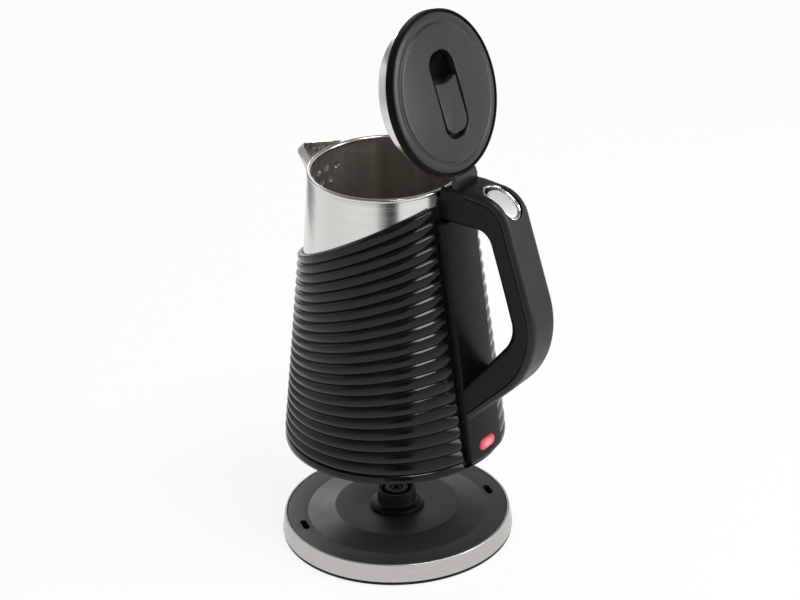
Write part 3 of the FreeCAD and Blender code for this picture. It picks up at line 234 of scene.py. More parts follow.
# %% [markdown]
# ## Lathes and slabs
# Most pieces of a kettle are turned about one axis, or are plates with a soft upper edge. Both are a
# profile carried along a loop: round a circle, or inwards from an outline.


# %% Lathes and slabs
def lathe(profile, lift=0.0, count=192, closed=False, finish=0):
    """A profile of (radius, height) turned about the upright axis: x = r cos t, y = r sin t, z = h + lift."""
    profile = np.asarray(profile, float)
    turn = np.arange(count) * 2 * math.pi / count
    radius, height = profile[:, :1], profile[:, 1:] + lift
    points = np.stack([radius * np.cos(turn), radius * np.sin(turn), height + 0 * turn], -1)
    return patch(points, wrap_rows=closed, wrap_cols=True, finish=finish)


def slab(outline, low, high, edge, steps=5, crown=0.0):
    """A plate over a closed outline, with its upper edge rounded and its top slightly crowned.

    The loops of the edge are insets of edge (1 - cos a) at heights high - edge (1 - sin a).
    """
    slope = np.linspace(0, math.pi / 2, steps + 1)
    rows = [(0.0, low), (0.0, high - edge)]
    rows += [(edge * (1 - math.cos(a)), high - edge + edge * math.sin(a)) for a in slope[1:]]
    loops = [np.column_stack([inset(outline, d), np.full(len(outline), z)]) for d, z in rows]
    if crown:
        middle = loops[-1].mean(0)
        for share in (0.25, 0.5, 0.75, 0.96):
            loop = loops[len(rows) - 1] * (1 - share) + middle * share
            loop[:, 2] = high + crown * (1 - (1 - share) ** 2)
            loops.append(loop)
    return np.stack(loops)


print("a soft plate over a circle has", len(slab(ring(10), 0, 3, 1)), "loops")

# %% [markdown]
# ## Building blocks of a finish
# A finish is a chain of small nodes: a noise, its span, two tones, a fine relief. Each block is one
# function, so that plastics and metals below read as short recipes.


# %% Building blocks of a finish
def new_finish(name):
    """A new material with its node tree and its shader."""
    finish = bpy.data.materials.new(name)
    finish.use_nodes = True
    return finish, finish.node_tree, finish.node_tree.nodes["Principled BSDF"]


def noise(tree, coordinates, scale, detail=3.0):
    """A noise texture on given coordinates."""
    texture = tree.nodes.new("ShaderNodeTexNoise")
    texture.inputs["Scale"].default_value = scale
    texture.inputs["Detail"].default_value = detail
    tree.links.new(coordinates, texture.inputs["Vector"])
    return texture.outputs["Fac"]


def spread(tree, value, low, high):
    """Takes a noise's usual span of 0.3 to 0.7 to a given span."""
    change = tree.nodes.new("ShaderNodeMapRange")
    for socket, number in zip(("From Min", "From Max", "To Min", "To Max"), (0.3, 0.7, low, high)):
        change.inputs[socket].default_value = number
    tree.links.new(value, change.inputs["Value"])
    return change.outputs["Result"]


def tones(tree, value, dark, light):
    """Blends two near tones by a value."""
    mix = tree.nodes.new("ShaderNodeMix")
    mix.data_type = "RGBA"
    mix.inputs["A"].default_value = (*dark, 1)
    mix.inputs["B"].default_value = (*light, 1)
    tree.links.new(value, mix.inputs["Factor"])
    return mix.outputs["Result"]


def bump(tree, value, strength, distance):
    """Turns a value into a fine relief of the surface."""
    relief = tree.nodes.new("ShaderNodeBump")
    relief.inputs["Strength"].default_value = strength
    relief.inputs["Distance"].default_value = distance
    tree.links.new(value, relief.inputs["Height"])
    return relief.outputs["Normal"]


print("blocks for noise, span, tones and relief are ready")

# %% [markdown]
# ## Plastics
# Moulded plastic is never one even colour: a faint cloudiness shifts its tone and gloss. Its mould was
# spark eroded or polished, which leaves a fine pebble. Noises on the object's own coordinates give both.
# The shell is glossy; handle, lid and base are satin.


# %% Moulded plastics
def moulded(name, dark, light, gloss, specular, pebble=0.15, pebble_scale=1500.0, cloud=18.0):
    """Plastic with cloudy tone, a span of roughness (smooth, rough) and a fine pebble."""
    finish, tree, shader = new_finish(name)
    place = tree.nodes.new("ShaderNodeTexCoord").outputs["Object"]
    cloudy = noise(tree, place, cloud)
    tree.links.new(tones(tree, spread(tree, cloudy, 0, 1), dark, light), shader.inputs["Base Color"])
    tree.links.new(spread(tree, noise(tree, place, cloud * 5), *gloss), shader.inputs["Roughness"])
    tree.links.new(bump(tree, noise(tree, place, pebble_scale, 2), pebble, 0.0001), shader.inputs["Normal"])
    shader.inputs["Specular IOR Level"].default_value = specular
    return finish


gloss_black = moulded(
    "gloss_black", (0.003, 0.003, 0.0032), (0.0045, 0.0045, 0.0048), (0.11, 0.17), 0.26, 0.02, 900
)
satin_black = moulded("satin_black", (0.004, 0.004, 0.0043), (0.006, 0.006, 0.0063), (0.36, 0.46), 0.16)
# The handle's cover is the same black plastic as its head and frame, drawn in a lighter tone: painted light
# from the lamps on the right, which fall on its outer face.
handle_black_painted_light = moulded("satin_charcoal", (0.008, 0.008, 0.0085), (0.010, 0.010, 0.0105), (0.36, 0.46), 0.3)
spine_black = moulded("spine_charcoal", (0.005, 0.005, 0.0053), (0.007, 0.007, 0.0073), (0.30, 0.40), 0.13)
base_black = moulded("base_black", (0.015, 0.015, 0.0158), (0.019, 0.019, 0.0198), (0.32, 0.38), 0.5, 0.03)
rim_black = moulded("rim_black", (0.003, 0.003, 0.003), (0.005, 0.005, 0.005), (0.42, 0.52), 0.05)
lid_grey = moulded("lid_grey", (0.0125, 0.0125, 0.0135), (0.0145, 0.0145, 0.0155), (0.30, 0.34), 0.35, 0.02)
well_black = moulded("well_black", (0.003, 0.003, 0.003), (0.005, 0.005, 0.005), (0.30, 0.40), 0.12)
rubber = moulded("black_rubber", (0.012, 0.012, 0.012), (0.018, 0.018, 0.018), (0.7, 0.85), 0.3, 0.3, 700)
silicone = moulded("silicone", (0.42, 0.42, 0.41), (0.50, 0.50, 0.49), (0.45, 0.6), 0.4)
control_white = moulded("control_white", (0.62, 0.60, 0.55), (0.70, 0.68, 0.63), (0.5, 0.6), 0.4)
print("plastics from", gloss_black.name, "to", control_white.name)

# %% [markdown]
# ## Steels
# Brushed steel gets its look from thousands of parallel scratches. The noise is stretched along the first
# texture direction, which runs round the turned pieces, so the grain runs round them too. The same
# scratches spread a highlight across themselves, which the shader's own anisotropy does. Inside the pot,
# broad bands of tone stand in for the many reflections of one wall in the other.


# %% Brushed and bright metals
def brushed(name, dark, light, rough, anisotropy, grain=(1.2, 260.0), relief=0.06, metal=1.0, bands=0.0):
    """Metal with grain along the texture's first direction, and with broad bands across it if asked."""
    finish, tree, shader = new_finish(name)
    place = tree.nodes.new("ShaderNodeUVMap")
    place.uv_map = "UVMap"

    def stretched(along, across, detail):
        """A noise with its own scale along and across the grain."""
        stretch = tree.nodes.new("ShaderNodeMapping")
        stretch.inputs["Scale"].default_value = (along, across, 1)
        tree.links.new(place.outputs["UV"], stretch.inputs["Vector"])
        return noise(tree, stretch.outputs["Vector"], 1.0, detail)

    scratches = stretched(*grain, 4)
    tone = scratches
    if bands:
        tone_mix = tree.nodes.new("ShaderNodeMix")
        tone_mix.inputs["Factor"].default_value = 0.7
        tree.links.new(scratches, tone_mix.inputs["A"])
        tree.links.new(stretched(bands, 0.0, 1), tone_mix.inputs["B"])
        tone = tone_mix.outputs["Result"]
    tree.links.new(tones(tree, spread(tree, tone, 0, 1), dark, light), shader.inputs["Base Color"])
    tree.links.new(spread(tree, scratches, *rough), shader.inputs["Roughness"])
    tree.links.new(bump(tree, scratches, relief, 0.0001), shader.inputs["Normal"])
    shader.inputs["Metallic"].default_value = metal
    shader.inputs["Anisotropic"].default_value = anisotropy
    tangent = tree.nodes.new("ShaderNodeTangent")
    tangent.direction_type = "UV_MAP"
    tangent.uv_map = "UVMap"
    tree.links.new(tangent.outputs["Tangent"], shader.inputs["Tangent"])
    return finish


def cast_metal(name, dark, light, rough, metal=1.0):
    """Plain metal or metal paint with a cloudy tone."""
    finish, tree, shader = new_finish(name)
    place = tree.nodes.new("ShaderNodeTexCoord").outputs["Object"]
    cloudy = noise(tree, place, 60)
    tree.links.new(tones(tree, spread(tree, cloudy, 0, 1), dark, light), shader.inputs["Base Color"])
    tree.links.new(spread(tree, cloudy, *rough), shader.inputs["Roughness"])
    shader.inputs["Metallic"].default_value = metal
    return finish


collar_steel = brushed("brushed_pot_steel", (0.66, 0.645, 0.625), (0.76, 0.745, 0.725), (0.13, 0.20), 0.5)
inside_steel = brushed(
    "pot_inside_steel",
    (0.46, 0.43, 0.385),
    (0.88, 0.84, 0.775),
    (0.26, 0.34),
    0.7,
    grain=(0.5, 420.0),
    relief=0.03,
    metal=0.85,
    bands=9.0,
)
bright_steel = brushed("bright_steel", (0.66, 0.655, 0.645), (0.76, 0.755, 0.745), (0.12, 0.2), 0.3)
spout_steel = brushed(
    "spout_steel", (0.66, 0.62, 0.57), (0.76, 0.72, 0.67), (0.24, 0.30), 0.3, relief=0.01, metal=0.9
)
base_steel = brushed("base_steel", (0.45, 0.435, 0.42), (0.55, 0.535, 0.52), (0.24, 0.34), 0.6, (0.8, 320.0))
chrome_trim = cast_metal("chrome_trim", (0.78, 0.78, 0.78), (0.84, 0.84, 0.84), (0.04, 0.08))
silver_paint = cast_metal("silver_paint", (0.66, 0.66, 0.655), (0.74, 0.74, 0.735), (0.26, 0.34), 0.4)
aluminium = cast_metal("aluminium", (0.62, 0.62, 0.63), (0.72, 0.72, 0.73), (0.4, 0.55))
brass = cast_metal("contact_brass", (0.62, 0.46, 0.20), (0.72, 0.54, 0.26), (0.2, 0.35))
sheath = cast_metal("element_sheath", (0.24, 0.23, 0.22), (0.34, 0.33, 0.31), (0.45, 0.6))
print("metals from", collar_steel.name, "to", sheath.name)

# %% [markdown]
# ## The lines that the kettle's pieces share
# The crests of the ribs lie on one cone and the pot on another. Writing both as functions of the height
# keeps shell, collar, spine and spout tight against each other. Heights count from the kettle's own foot,
# and the whole kettle is lifted above the table at the end.

# %% Shared cones
LIFT = 77.0
RIM, FOOT_RADIUS, TOP_RADIUS = 199.0, 75.6, 54.3
TAPER = (FOOT_RADIUS - TOP_RADIUS) / RIM
POT_UNDER, POT_FLOOR, POT_LOW, POT_TOP = 27.2, 28.0, 66.5, 52.0
BEAD = 1.5
BEAD_HEIGHT = RIM - BEAD
LINER_LOW, LINER_TOP, SHELL_FOOT = 72.3, 51.4, 1.0
SPINE_STAND = 3.0


def crest_radius(height):
    """Cone through the crests of the ribs: 75.6 mm at the foot, 54.3 mm at the rim."""
    return FOOT_RADIUS - TAPER * np.asarray(height, float)


def pot_radius(height):
    """Outer side of the steel pot: 66.5 mm at its floor, 52 mm at the rim."""
    share = (np.asarray(height, float) - POT_UNDER) / (BEAD_HEIGHT - POT_UNDER)
    return POT_LOW + (POT_TOP - POT_LOW) * share


def liner_radius(height):
    """Inner side of the black shell, clear of the pot: 72.3 mm at the foot, 51.4 mm under the rim."""
    share = (np.asarray(height, float) - SHELL_FOOT) / (BEAD_HEIGHT - SHELL_FOOT)
    return LINER_LOW + (LINER_TOP - LINER_LOW) * share


def spine_face(height):
    """Face of the spine, which leans with the crests of the ribs and stands 3 mm beyond them."""
    return crest_radius(height) + SPINE_STAND


def lifted(points):
    """Moves points from the kettle's foot to where the kettle floats."""
    return np.asarray(points, float) + (0, 0, LIFT)


print("spine face near the foot:", round(float(spine_face(10)), 2), "mm from the axis")

# %% [markdown]
# ## The ribbed shell
# The jacket's ribs lie level at the foot and fan out to a slanted top edge. Every line of the profile
# runs at a fixed share of the way from the plain band to that edge. A displaced cylinder would smear the
# ribs, so the fan is solved for each point: height = (band + share (cut - band) + lean R) / (1 + lean
# taper), with lean = share slope cos(turn). The crests stand a little proud of the shared cone and lean
# back to the handle.

# %% Lines of the shell
BAND, CUT, SLOPE = 6.0, 163.0, 0.505
RIBS, RIB_HEIGHT, PROUD, LEAN_BACK = 21, 1.8, 0.6, 0.7
BESIDE_SPINE, END_FALL, END_LENGTH = 21.4, 0.35, 0.9


def shell_lines(share, depth, progress, inner=False, foot=False):
    """Points of profile lines; progress runs from one side of the spine round to the other.

    Radius and height depend on each other, so both are found by a few rounds of substitution. The
    outer 0.9 mm of each rib falls off by about a third, which rounds its ends.
    """
    radius = np.full(np.broadcast(share, progress).shape, FOOT_RADIUS)
    for _ in range(7):
        first = np.arcsin(BESIDE_SPINE / radius)
        turn = first + progress * (2 * math.pi - 2 * first)
        lean = share * SLOPE * np.cos(turn)
        height = (BAND + share * (CUT - BAND) + lean * FOOT_RADIUS) / (1 + lean * TAPER)
        if foot:
            height = np.full_like(height, SHELL_FOOT)
        end = np.minimum(turn - first, 2 * math.pi - first - turn) * radius
        full = 1 - END_FALL * (1 - np.clip(end / END_LENGTH, 0, 1)) ** 2
        crest = crest_radius(height) - RIB_HEIGHT + (RIB_HEIGHT + PROUD - depth) * full
        radius = liner_radius(height) if inner else crest
    return np.stack([radius * np.cos(turn) + (0 if inner else LEAN_BACK), radius * np.sin(turn), height], -1)


edge_ends = shell_lines(np.ones((1, 1)), np.zeros((1, 1)), np.array([[0.0], [0.5]]))[:, 0, 2]
print("slanted edge: %.1f mm high beside the spine, %.1f mm under the spout" % tuple(edge_ends))

# %% [markdown]
# The ribs change on their way up. Low down each one is a ledge with a long upper side. Higher up the
# crest moves towards the top of the rib, so that the ribs overlap like shingles and their ends stand out
# as points.

# %% Ribbed shell
GROOVE = 1.75
rib = np.arange(RIBS)[:, None]
crest = 0.48 + 0.32 * rib / (RIBS - 1)
below, above = np.linspace(1, 0, 8)[None, :-1], np.linspace(0, 1, 7)[None, :-1]
within_rib = np.concatenate([crest * (1 - below), crest + (1 - crest) * above], 1)
rib_shares = ((rib + within_rib) / RIBS).reshape(1, -1)
lower_side, upper_side = below**1.6 + 0 * rib, above**2.2 + 0 * rib
rib_depths = GROOVE * np.concatenate([lower_side, upper_side], 1).reshape(1, -1)
near_end, round_shell = np.linspace(0, 0.004, 7)[:-1], np.linspace(0.004, 0.996, 241)
progress = np.concatenate([near_end, round_shell, 1 - near_end[::-1]])[:, None]
edge_shares = np.array([[0.9985, 1.0, 1.0, 1.0]])
edge_depths = np.array([[1.5, 1.7, 2.4, 3.0]])
plain = np.zeros((1, 1))
shell_grid = np.concatenate(
    [
        shell_lines(plain, plain + 1.0, progress, foot=True),
        shell_lines(plain, plain + 0.6, progress, foot=True) + (0, 0, 0.4),
        shell_lines(plain - 0.02, plain + 0.4, progress),
        shell_lines(plain - 0.004, plain + 0.6, progress),
        shell_lines(rib_shares, rib_depths, progress),
        shell_lines(edge_shares, edge_depths, progress),
        shell_lines(plain + 1, plain, progress, inner=True),
        shell_lines(plain, plain, progress, inner=True, foot=True),
    ],
    1,
)
shell_body = body_of_loops(lifted(shell_grid))
add_piece("ribbed_shell", "kettle", [gloss_black], [shell_body], ["outer_shell"], 50)

# %% [markdown]
# ## The steel pot
# A deep-drawn pot with its edge rolled into a bead. Outside and inside are two lathe profiles that share
# the bead, so each can have its own finish: the inside is darker and its grain coarser. The strainer is
# punched, so its holes are cut right through with a boolean, and the light falls through them.

# %% Steel pot with rolled rim and strainer
POT_WALL, NECK, MOUTH = 0.8, 195.9, 195.4
bead_line = arc((POT_TOP - 1.0, BEAD_HEIGHT), BEAD, -48, 228, 28)
outer_wall = rounded([(0, POT_UNDER), (POT_LOW, POT_UNDER), (float(pot_radius(NECK)), NECK)], [0, 2.5, 0])
inside_mouth = (float(pot_radius(MOUTH)) - POT_WALL, MOUTH)
inside_floor = (POT_LOW - POT_WALL, POT_FLOOR)
inner_wall = rounded([bead_line[-1], inside_mouth, inside_floor, (0, POT_FLOOR)], [0, 0.5, 6, 0])
wall_steps = np.linspace(outer_wall[-2], outer_wall[-1], 40)[1:]
outer_line = np.concatenate([outer_wall[:-1], wall_steps, bead_line])


def hole_bar(y, z, radius, start, end, count=40):
    """A round bar along X, as a cutter: y + r cos t, z + r sin t."""
    angle = np.arange(count) * 2 * math.pi / count
    loop = np.stack([np.zeros(count), y + radius * np.cos(angle), z + radius * np.sin(angle)], -1)
    return body_of_loops(lifted(np.stack([loop + (start, 0, 0), loop + (end, 0, 0)])))


STRAINER_HOLE, STRAINER_PITCH, STEAM_HOLE = 2.2, 9.0, 3.2
strainer = [
    hole_bar(STRAINER_PITCH * (i - (holes - 1) / 2), height, STRAINER_HOLE, -62, -40)
    for holes, height in ((4, RIM - 16), (3, RIM - 25))
    for i in range(holes)
]
steam_inlet = hole_bar(0, RIM - 29, STEAM_HOLE, 45, 62)
add_piece(
    "steel_pot",
    "kettle",
    [collar_steel, inside_steel],
    [lathe(outer_line, LIFT, 224), lathe(inner_wall, LIFT, 224, finish=1)],
    ["inner_pot"],
    40,
    strainer + [steam_inlet],
)

# %% [markdown]
# ## The spout
# A pressed beak with a round prow. Its level lines are narrow hyperbolas, straight along the lips and
# round at the nose: x = tip - reach (sqrt(q^2 + e^2) - e) / (sqrt(1 + e^2) - e), y = half width times q.
# Their tip and half width change with the depth, which gives the swollen prow. Thickness comes from a
# second, smaller set of lines.

# %% Spout
SPOUT_REACH, SPOUT_HALF, SPOUT_DEPTH, SPOUT_WALL, NOSE = 16.0, 17.5, 32.0, 1.0, 0.16
depth_share = np.array([0, 0.13, 0.42, 0.68, 0.88, 1])
reach_share = np.array([1, 1.24, 1, 0.6, 0.3, 0.16])
width_share = np.array([1, 1, 0.98, 0.84, 0.56, 0.16])


def smooth(x, xs, ys):
    """Cubic through given points, with slopes from the neighbours."""
    slope = np.gradient(ys, xs)
    i = np.clip(np.searchsorted(xs, x) - 1, 0, len(xs) - 2)
    span = xs[i + 1] - xs[i]
    t = (x - xs[i]) / span
    a, b = (1 + 2 * t) * (1 - t) ** 2, t * (1 - t) ** 2
    c, d = t * t * (3 - 2 * t), t * t * (t - 1)
    return a * ys[i] + b * span * slope[i] + c * ys[i + 1] + d * span * slope[i + 1]


def beak_side(share, wall, tall, q):
    """One skin of the beak: rows follow q across the beak, columns follow the share of the depth."""
    height = RIM + 0.6 - tall * share
    hold = np.where(height > RIM - 4.5, POT_TOP + 0.45, pot_radius(height)) - 0.3
    half = SPOUT_HALF * smooth(share, depth_share, width_share) - wall
    reach = SPOUT_REACH * smooth(share, depth_share, reach_share)
    tip = np.maximum(POT_TOP + reach - 1.2 * wall, hold)
    root = np.sqrt(hold**2 - half**2)
    bend = (np.sqrt(q * q + NOSE**2) - NOSE) / (math.sqrt(1 + NOSE**2) - NOSE)
    x = tip - np.maximum(tip - root, 0) * bend
    return np.stack([-x, half * q, height + 0 * q], -1)


q = np.linspace(-1, 1, 81)[:, None]
share = np.linspace(0, 1, 45)[None, :]
outer_skin = beak_side(share, 0.0, SPOUT_DEPTH, q)
inner_skin = beak_side(share, SPOUT_WALL, SPOUT_DEPTH - SPOUT_WALL, q)
lip = (outer_skin[:, :1] + inner_skin[:, :1]) / 2 + (0, 0, 0.35)
beak = body_of_loops(lifted(np.concatenate([inner_skin[:, ::-1], lip, outer_skin], 1)))
add_piece("spout_beak", "kettle", [spout_steel], [beak], ["spout"], 50)

# %% [markdown]
# ## The spine
# The upright strip between the ends of the shell is an extrusion that leans with the cone. One half
# section is enough: face, crisp corner, side, ledge, and a back that follows the pot. It is carried up
# along the face's own line. At the foot the face rolls back and its corners are cut round.

# %% Section of the spine
SPINE_HALF, LEDGE_HALF, SPINE_CORNER, SPINE_CROWN = 18.3, 21.0, 1.3, 1.5


def spine_section(face, half, ledge, pot):
    """Outline at one height as (x, y) pairs: crowned face, small corner, side, ledge, back round the pot."""
    y = np.linspace(0, half - SPINE_CORNER, 7)
    front = np.column_stack([face - SPINE_CROWN * (y / half) ** 2, y])
    corner = arc((front[-1, 0] - SPINE_CORNER, half - SPINE_CORNER), SPINE_CORNER, 0, 90, 6)[1:]
    side = [(ledge + 0.7, half), (ledge + 0.2, half + 0.15), (ledge, half + 0.6)]
    side += [(ledge, LEDGE_HALF - 0.6), (ledge - 0.3, LEDGE_HALF - 0.1)]
    y = np.linspace(LEDGE_HALF, 0, 8)
    back = np.column_stack([np.sqrt(pot**2 - y**2), y])
    half_loop = np.concatenate([front, corner, side, back])
    return np.concatenate([half_loop, half_loop[-2:0:-1] * (1, -1)])


def rolled(height, start, length):
    """Quarter circle below a height: 0 at its start and 1 at its full length."""
    return 1 - np.sqrt(1 - np.clip((start - height) / length, 0, 1) ** 2)


SPINE_FOOT, SPINE_TOP = 2.0, 178.0
heights = np.concatenate([np.linspace(SPINE_FOOT, 10, 17), np.linspace(10, SPINE_TOP, 36)[1:]])
faces = spine_face(heights) - 4.5 * rolled(heights, 7.5, 5.6)
halves = SPINE_HALF - 5.5 * rolled(heights, 9, 7.2)
ledges = np.sqrt((crest_radius(heights) - RIB_HEIGHT) ** 2 - LEDGE_HALF**2)
pots = np.minimum(liner_radius(heights) + 0.3, np.hypot(ledges - 0.9, LEDGE_HALF))
spine_rows = [spine_section(*row) for row in zip(faces, halves, ledges, pots)]
spine_grid = np.stack([np.insert(row, 2, z, axis=1) for row, z in zip(spine_rows, heights)])
print("spine:", len(heights), "sections of", spine_grid.shape[1], "points")

# %% [markdown]
# The window for the power switch is cut into the foot of the spine. Its outline and the cap's are one
# bar, so the gap round the cap is even.

# %% Spine with the window of the switch
SWITCH_HEIGHT, SWITCH_LENGTH, SWITCH_WIDTH = 13.8, 17.0, 8.0
panel = float(spine_face(SWITCH_HEIGHT))


def switch_outline(grow, count=96):
    """Outline of the power switch in the (y, z) plane, 17 by 8 mm plus a rim."""
    return polar_bar(SWITCH_LENGTH + grow, SWITCH_WIDTH + grow, 0, None, count)


def facing_panel(outline, start, end, rows=2):
    """A bar along X over an outline in the (y, z) plane at the height of the switch."""
    x = np.linspace(start, end, rows)[:, None]
    return np.stack([x + 0 * outline[:, 0], outline[:, 0] + 0 * x, outline[:, 1] + SWITCH_HEIGHT + 0 * x], -1)


window = body_of_loops(lifted(facing_panel(switch_outline(1.0), panel - 7.5, panel + 5)))
add_piece(
    "handle_spine_strip",
    "kettle",
    [spine_black],
    [body_of_loops(lifted(spine_grid))],
    ["handle_spine"],
    35,
    [window],
)

# %% [markdown]
# ## The lit power switch
# A red cap lit from behind: brightest over its lamp and deep red at its rim. The glow follows the
# distance from the middle of the cap on the object's own coordinates, so it stays put from every side.


# %% Power switch
def lit_red(middle):
    """Red plastic whose own light fades from the middle of the cap to its rim."""
    finish, tree, shader = new_finish("red_lens")
    place = tree.nodes.new("ShaderNodeTexCoord")
    centre = tree.nodes.new("ShaderNodeMapping")
    centre.vector_type = "TEXTURE"
    centre.inputs["Location"].default_value = middle
    centre.inputs["Scale"].default_value = (0.02, 0.0082, 0.0042)
    tree.links.new(place.outputs["Object"], centre.inputs["Vector"])
    ball = tree.nodes.new("ShaderNodeTexGradient")
    ball.gradient_type = "SPHERICAL"
    tree.links.new(centre.outputs["Vector"], ball.inputs["Vector"])
    ramp = tree.nodes.new("ShaderNodeValToRGB")
    ramp.color_ramp.elements[0].color = (0.34, 0.03, 0.04, 1)
    ramp.color_ramp.elements[1].position = 0.8
    ramp.color_ramp.elements[1].color = (1.0, 0.45, 0.46, 1)
    step = ramp.color_ramp.elements.new(0.35)
    step.color = (0.74, 0.12, 0.15, 1)
    tree.links.new(ball.outputs["Fac"], ramp.inputs["Fac"])
    tree.links.new(ramp.outputs["Color"], shader.inputs["Emission Color"])
    shader.inputs["Emission Strength"].default_value = 0.7
    shader.inputs["Base Color"].default_value = (0.30, 0.03, 0.04, 1)
    shader.inputs["Roughness"].default_value = 0.22
    return finish


CAP_DEPTH, CAP_PROUD = 4.2, 0.5
red_lens = lit_red((panel * MM, 0, (LIFT + SWITCH_HEIGHT) * MM))
flat_cap = slab(switch_outline(0), 0.0, CAP_DEPTH, 1.2, 6, 0.4)
cap_x = panel + CAP_PROUD - CAP_DEPTH + flat_cap[..., 2] - TAPER * flat_cap[..., 1]
cap = body_of_loops(lifted(np.stack([cap_x, flat_cap[..., 0], flat_cap[..., 1] + SWITCH_HEIGHT], -1)))
add_piece("power_switch_cap", "power_switch", [red_lens], [cap], ["power_switch"], 60)

# %% [markdown]
# ## The handle's outer cover
# The loop of the handle is a straight, a bend, a long straight, a second bend and the lower arm. The
# cover is one section with soft outer edges, carried along that line. It flares a little where the arm
# meets the spine. Both ends are slid along the line until they stand upright, as the mould closes there.

# %% Line of the handle
HALF, COVER_DEPTH, TOP_BEND, LOW_BEND, FRONT = 14.0, 4.4, 34.0, 68.0, 71.0
HANDLE_TOP = 203.4
HANDLE = np.array([(FRONT, HANDLE_TOP), (100.5, 200.5), (132.2, 92.3), (73.0, 36.2)])


def loop_line(corners, radii, steps=(6, 26, 30, 26, 14)):
    """Points of a straight, a bend, a straight, a bend and a straight, with fixed steps in each."""
    line = rounded(corners, [0, *radii, 0], steps[1])
    first, second = line[1 : steps[1] + 2], line[steps[1] + 2 : 2 * steps[1] + 3]
    parts = [
        np.linspace(line[0], first[0], steps[0])[:-1],
        first,
        np.linspace(first[-1], second[0], steps[2])[1:-1],
        second,
        np.linspace(second[-1], line[-1], steps[4])[1:],
    ]
    return np.concatenate(parts)


line = loop_line(HANDLE, (TOP_BEND, LOW_BEND))
ahead = np.gradient(line, axis=0)
ahead /= np.linalg.norm(ahead, axis=1, keepdims=True)
inward = np.stack([ahead[:, 1], -ahead[:, 0]], -1)
print("outer line of the handle:", len(line), "stations")

# %% [markdown]
# The section lies across the line: depth counts inwards from the outer face, and across runs from side to
# side. Its two halves mirror each other. Carried along the line it is a grid, and the ends are set
# upright last.

# %% Section of the cover
PARTING = 0.5


def upright_ends(points, ahead, start, end):
    """Slides the first and last row along the line until they stand at given x."""
    for row, x in ((0, start), (-1, end)):
        slide = (x - points[row, :, 0]) / ahead[row, 0]
        points[row, :, 0] += slide * ahead[row, 0]
        points[row, :, 2] += slide * ahead[row, 1]
    return points


def flared(grid):
    """Widens the lower arm towards the spine, by up to three tenths."""
    near = np.clip((112 - grid[..., 0]) / 40, 0, 1) * (grid[..., 2] < 110)
    return grid * np.stack([np.ones_like(near), 1 + 0.3 * near**3, np.ones_like(near)], -1)


def cover_section(depth, half, edge):
    """Closed section as (depth, across): soft outer edges, and a small chamfer at the parting line."""
    turn = np.linspace(math.pi / 2, 0, 9)
    side = np.stack([edge - edge * np.sin(turn), half - edge + edge * np.cos(turn)], -1)
    parting = [(depth - PARTING, half), (depth, half - PARTING), (depth, half / 2)]
    half_loop = np.concatenate([[(0.0, half / 2)], side, parting])
    return np.concatenate([half_loop, half_loop[::-1] * (1, -1)])


section = cover_section(COVER_DEPTH, HALF, 4.0)
flat = line[:, None, :] + inward[:, None, :] * section[None, :, :1]
cover_grid = np.stack([flat[..., 0], np.broadcast_to(section[:, 1], flat.shape[:2]), flat[..., 1]], -1)
cover_grid = flared(upright_ends(cover_grid, ahead, FRONT, HANDLE[3, 0]))
print("cover of the handle:", cover_grid.shape[0], "sections of", cover_grid.shape[1], "points")

# %% [markdown]
# The window of the release button is cut through the upper bend. Everything on the bend is laid out from
# its middle: along and across the bend, and outwards by the height sqrt((R + over)^2 - along^2).

# %% Places on the upper bend
first_way = (HANDLE[0] - HANDLE[1]) / np.linalg.norm(HANDLE[0] - HANDLE[1])
second_way = (HANDLE[2] - HANDLE[1]) / np.linalg.norm(HANDLE[2] - HANDLE[1])
half_angle = math.acos(first_way @ second_way) / 2
middle_way = (first_way + second_way) / np.linalg.norm(first_way + second_way)
BEND = HANDLE[1] + middle_way * TOP_BEND / math.sin(half_angle)
BUTTON_TURN = math.radians(57)
OUT = np.array([math.cos(BUTTON_TURN), math.sin(BUTTON_TURN)])
BACK = np.array([-math.sin(BUTTON_TURN), math.cos(BUTTON_TURN)])
FRAME_LENGTH, FRAME_WIDTH, FRAME_ROUND = 29.4, 16.4, 1.8


def on_bend(outline, over):
    """Lays an outline (along, across) over the bend, at a height beyond the bend's own curve."""
    along, across = outline[..., 0], outline[..., 1]
    height = np.sqrt((TOP_BEND + over) ** 2 - along**2)
    spot = BEND + height[..., None] * OUT + along[..., None] * BACK
    return np.stack([spot[..., 0], across, spot[..., 1]], -1)


def bend_bar(outline, low, high):
    """A straight bar over an outline, along the button's travel, as a cutter."""
    height = np.array([low, high])[:, None, None]
    spots = BEND + outline[:, :1] * BACK + OUT * height
    across = np.broadcast_to(outline[:, 1], spots.shape[:2])
    return body_of_loops(lifted(np.stack([spots[..., 0], across, spots[..., 1]], -1)))


button_window = polar_bar(FRAME_LENGTH + 2.4, FRAME_WIDTH + 2.4, 0, None, 120)
# The cover takes the lighter copy of the satin black, which carries painted light on its outer face.
add_piece(
    "handle_outer_cover",
    "kettle",
    [handle_black_painted_light],
    [body_of_loops(lifted(cover_grid))],
    ["handle_cover"],
    40,
    [bend_bar(button_window, 8, 44)],
)

# %% [markdown]
# ## The handle's inner frame
# The inner half of the loop runs between the parting line and the finger gap. Its section is a flat seat,
# straight sides and rounded inner edges, which are roundest in the lower bend, where the fingers lie.

# %% Loop of the inner frame
HEAD_LOW, SEAT_GAP = 178.1, 0.15
GAP = [(FRONT, HEAD_LOW), (89.4, HEAD_LOW), (107.0, 105.0), (70.0, 60.5)]
gap_line = loop_line(GAP, (17.0, 26.0))
seat_line = line + inward * (COVER_DEPTH + SEAT_GAP)
seat_line[0] = (FRONT, 198.95)
walk = np.linspace(0, 1, len(line))
edges = 3.0 + 4.0 * np.sin(math.pi * np.clip((walk - 0.3) / 0.7, 0, 1))
depth = np.linalg.norm(gap_line - seat_line, axis=1)
to_gap = (gap_line - seat_line) / depth[:, None]


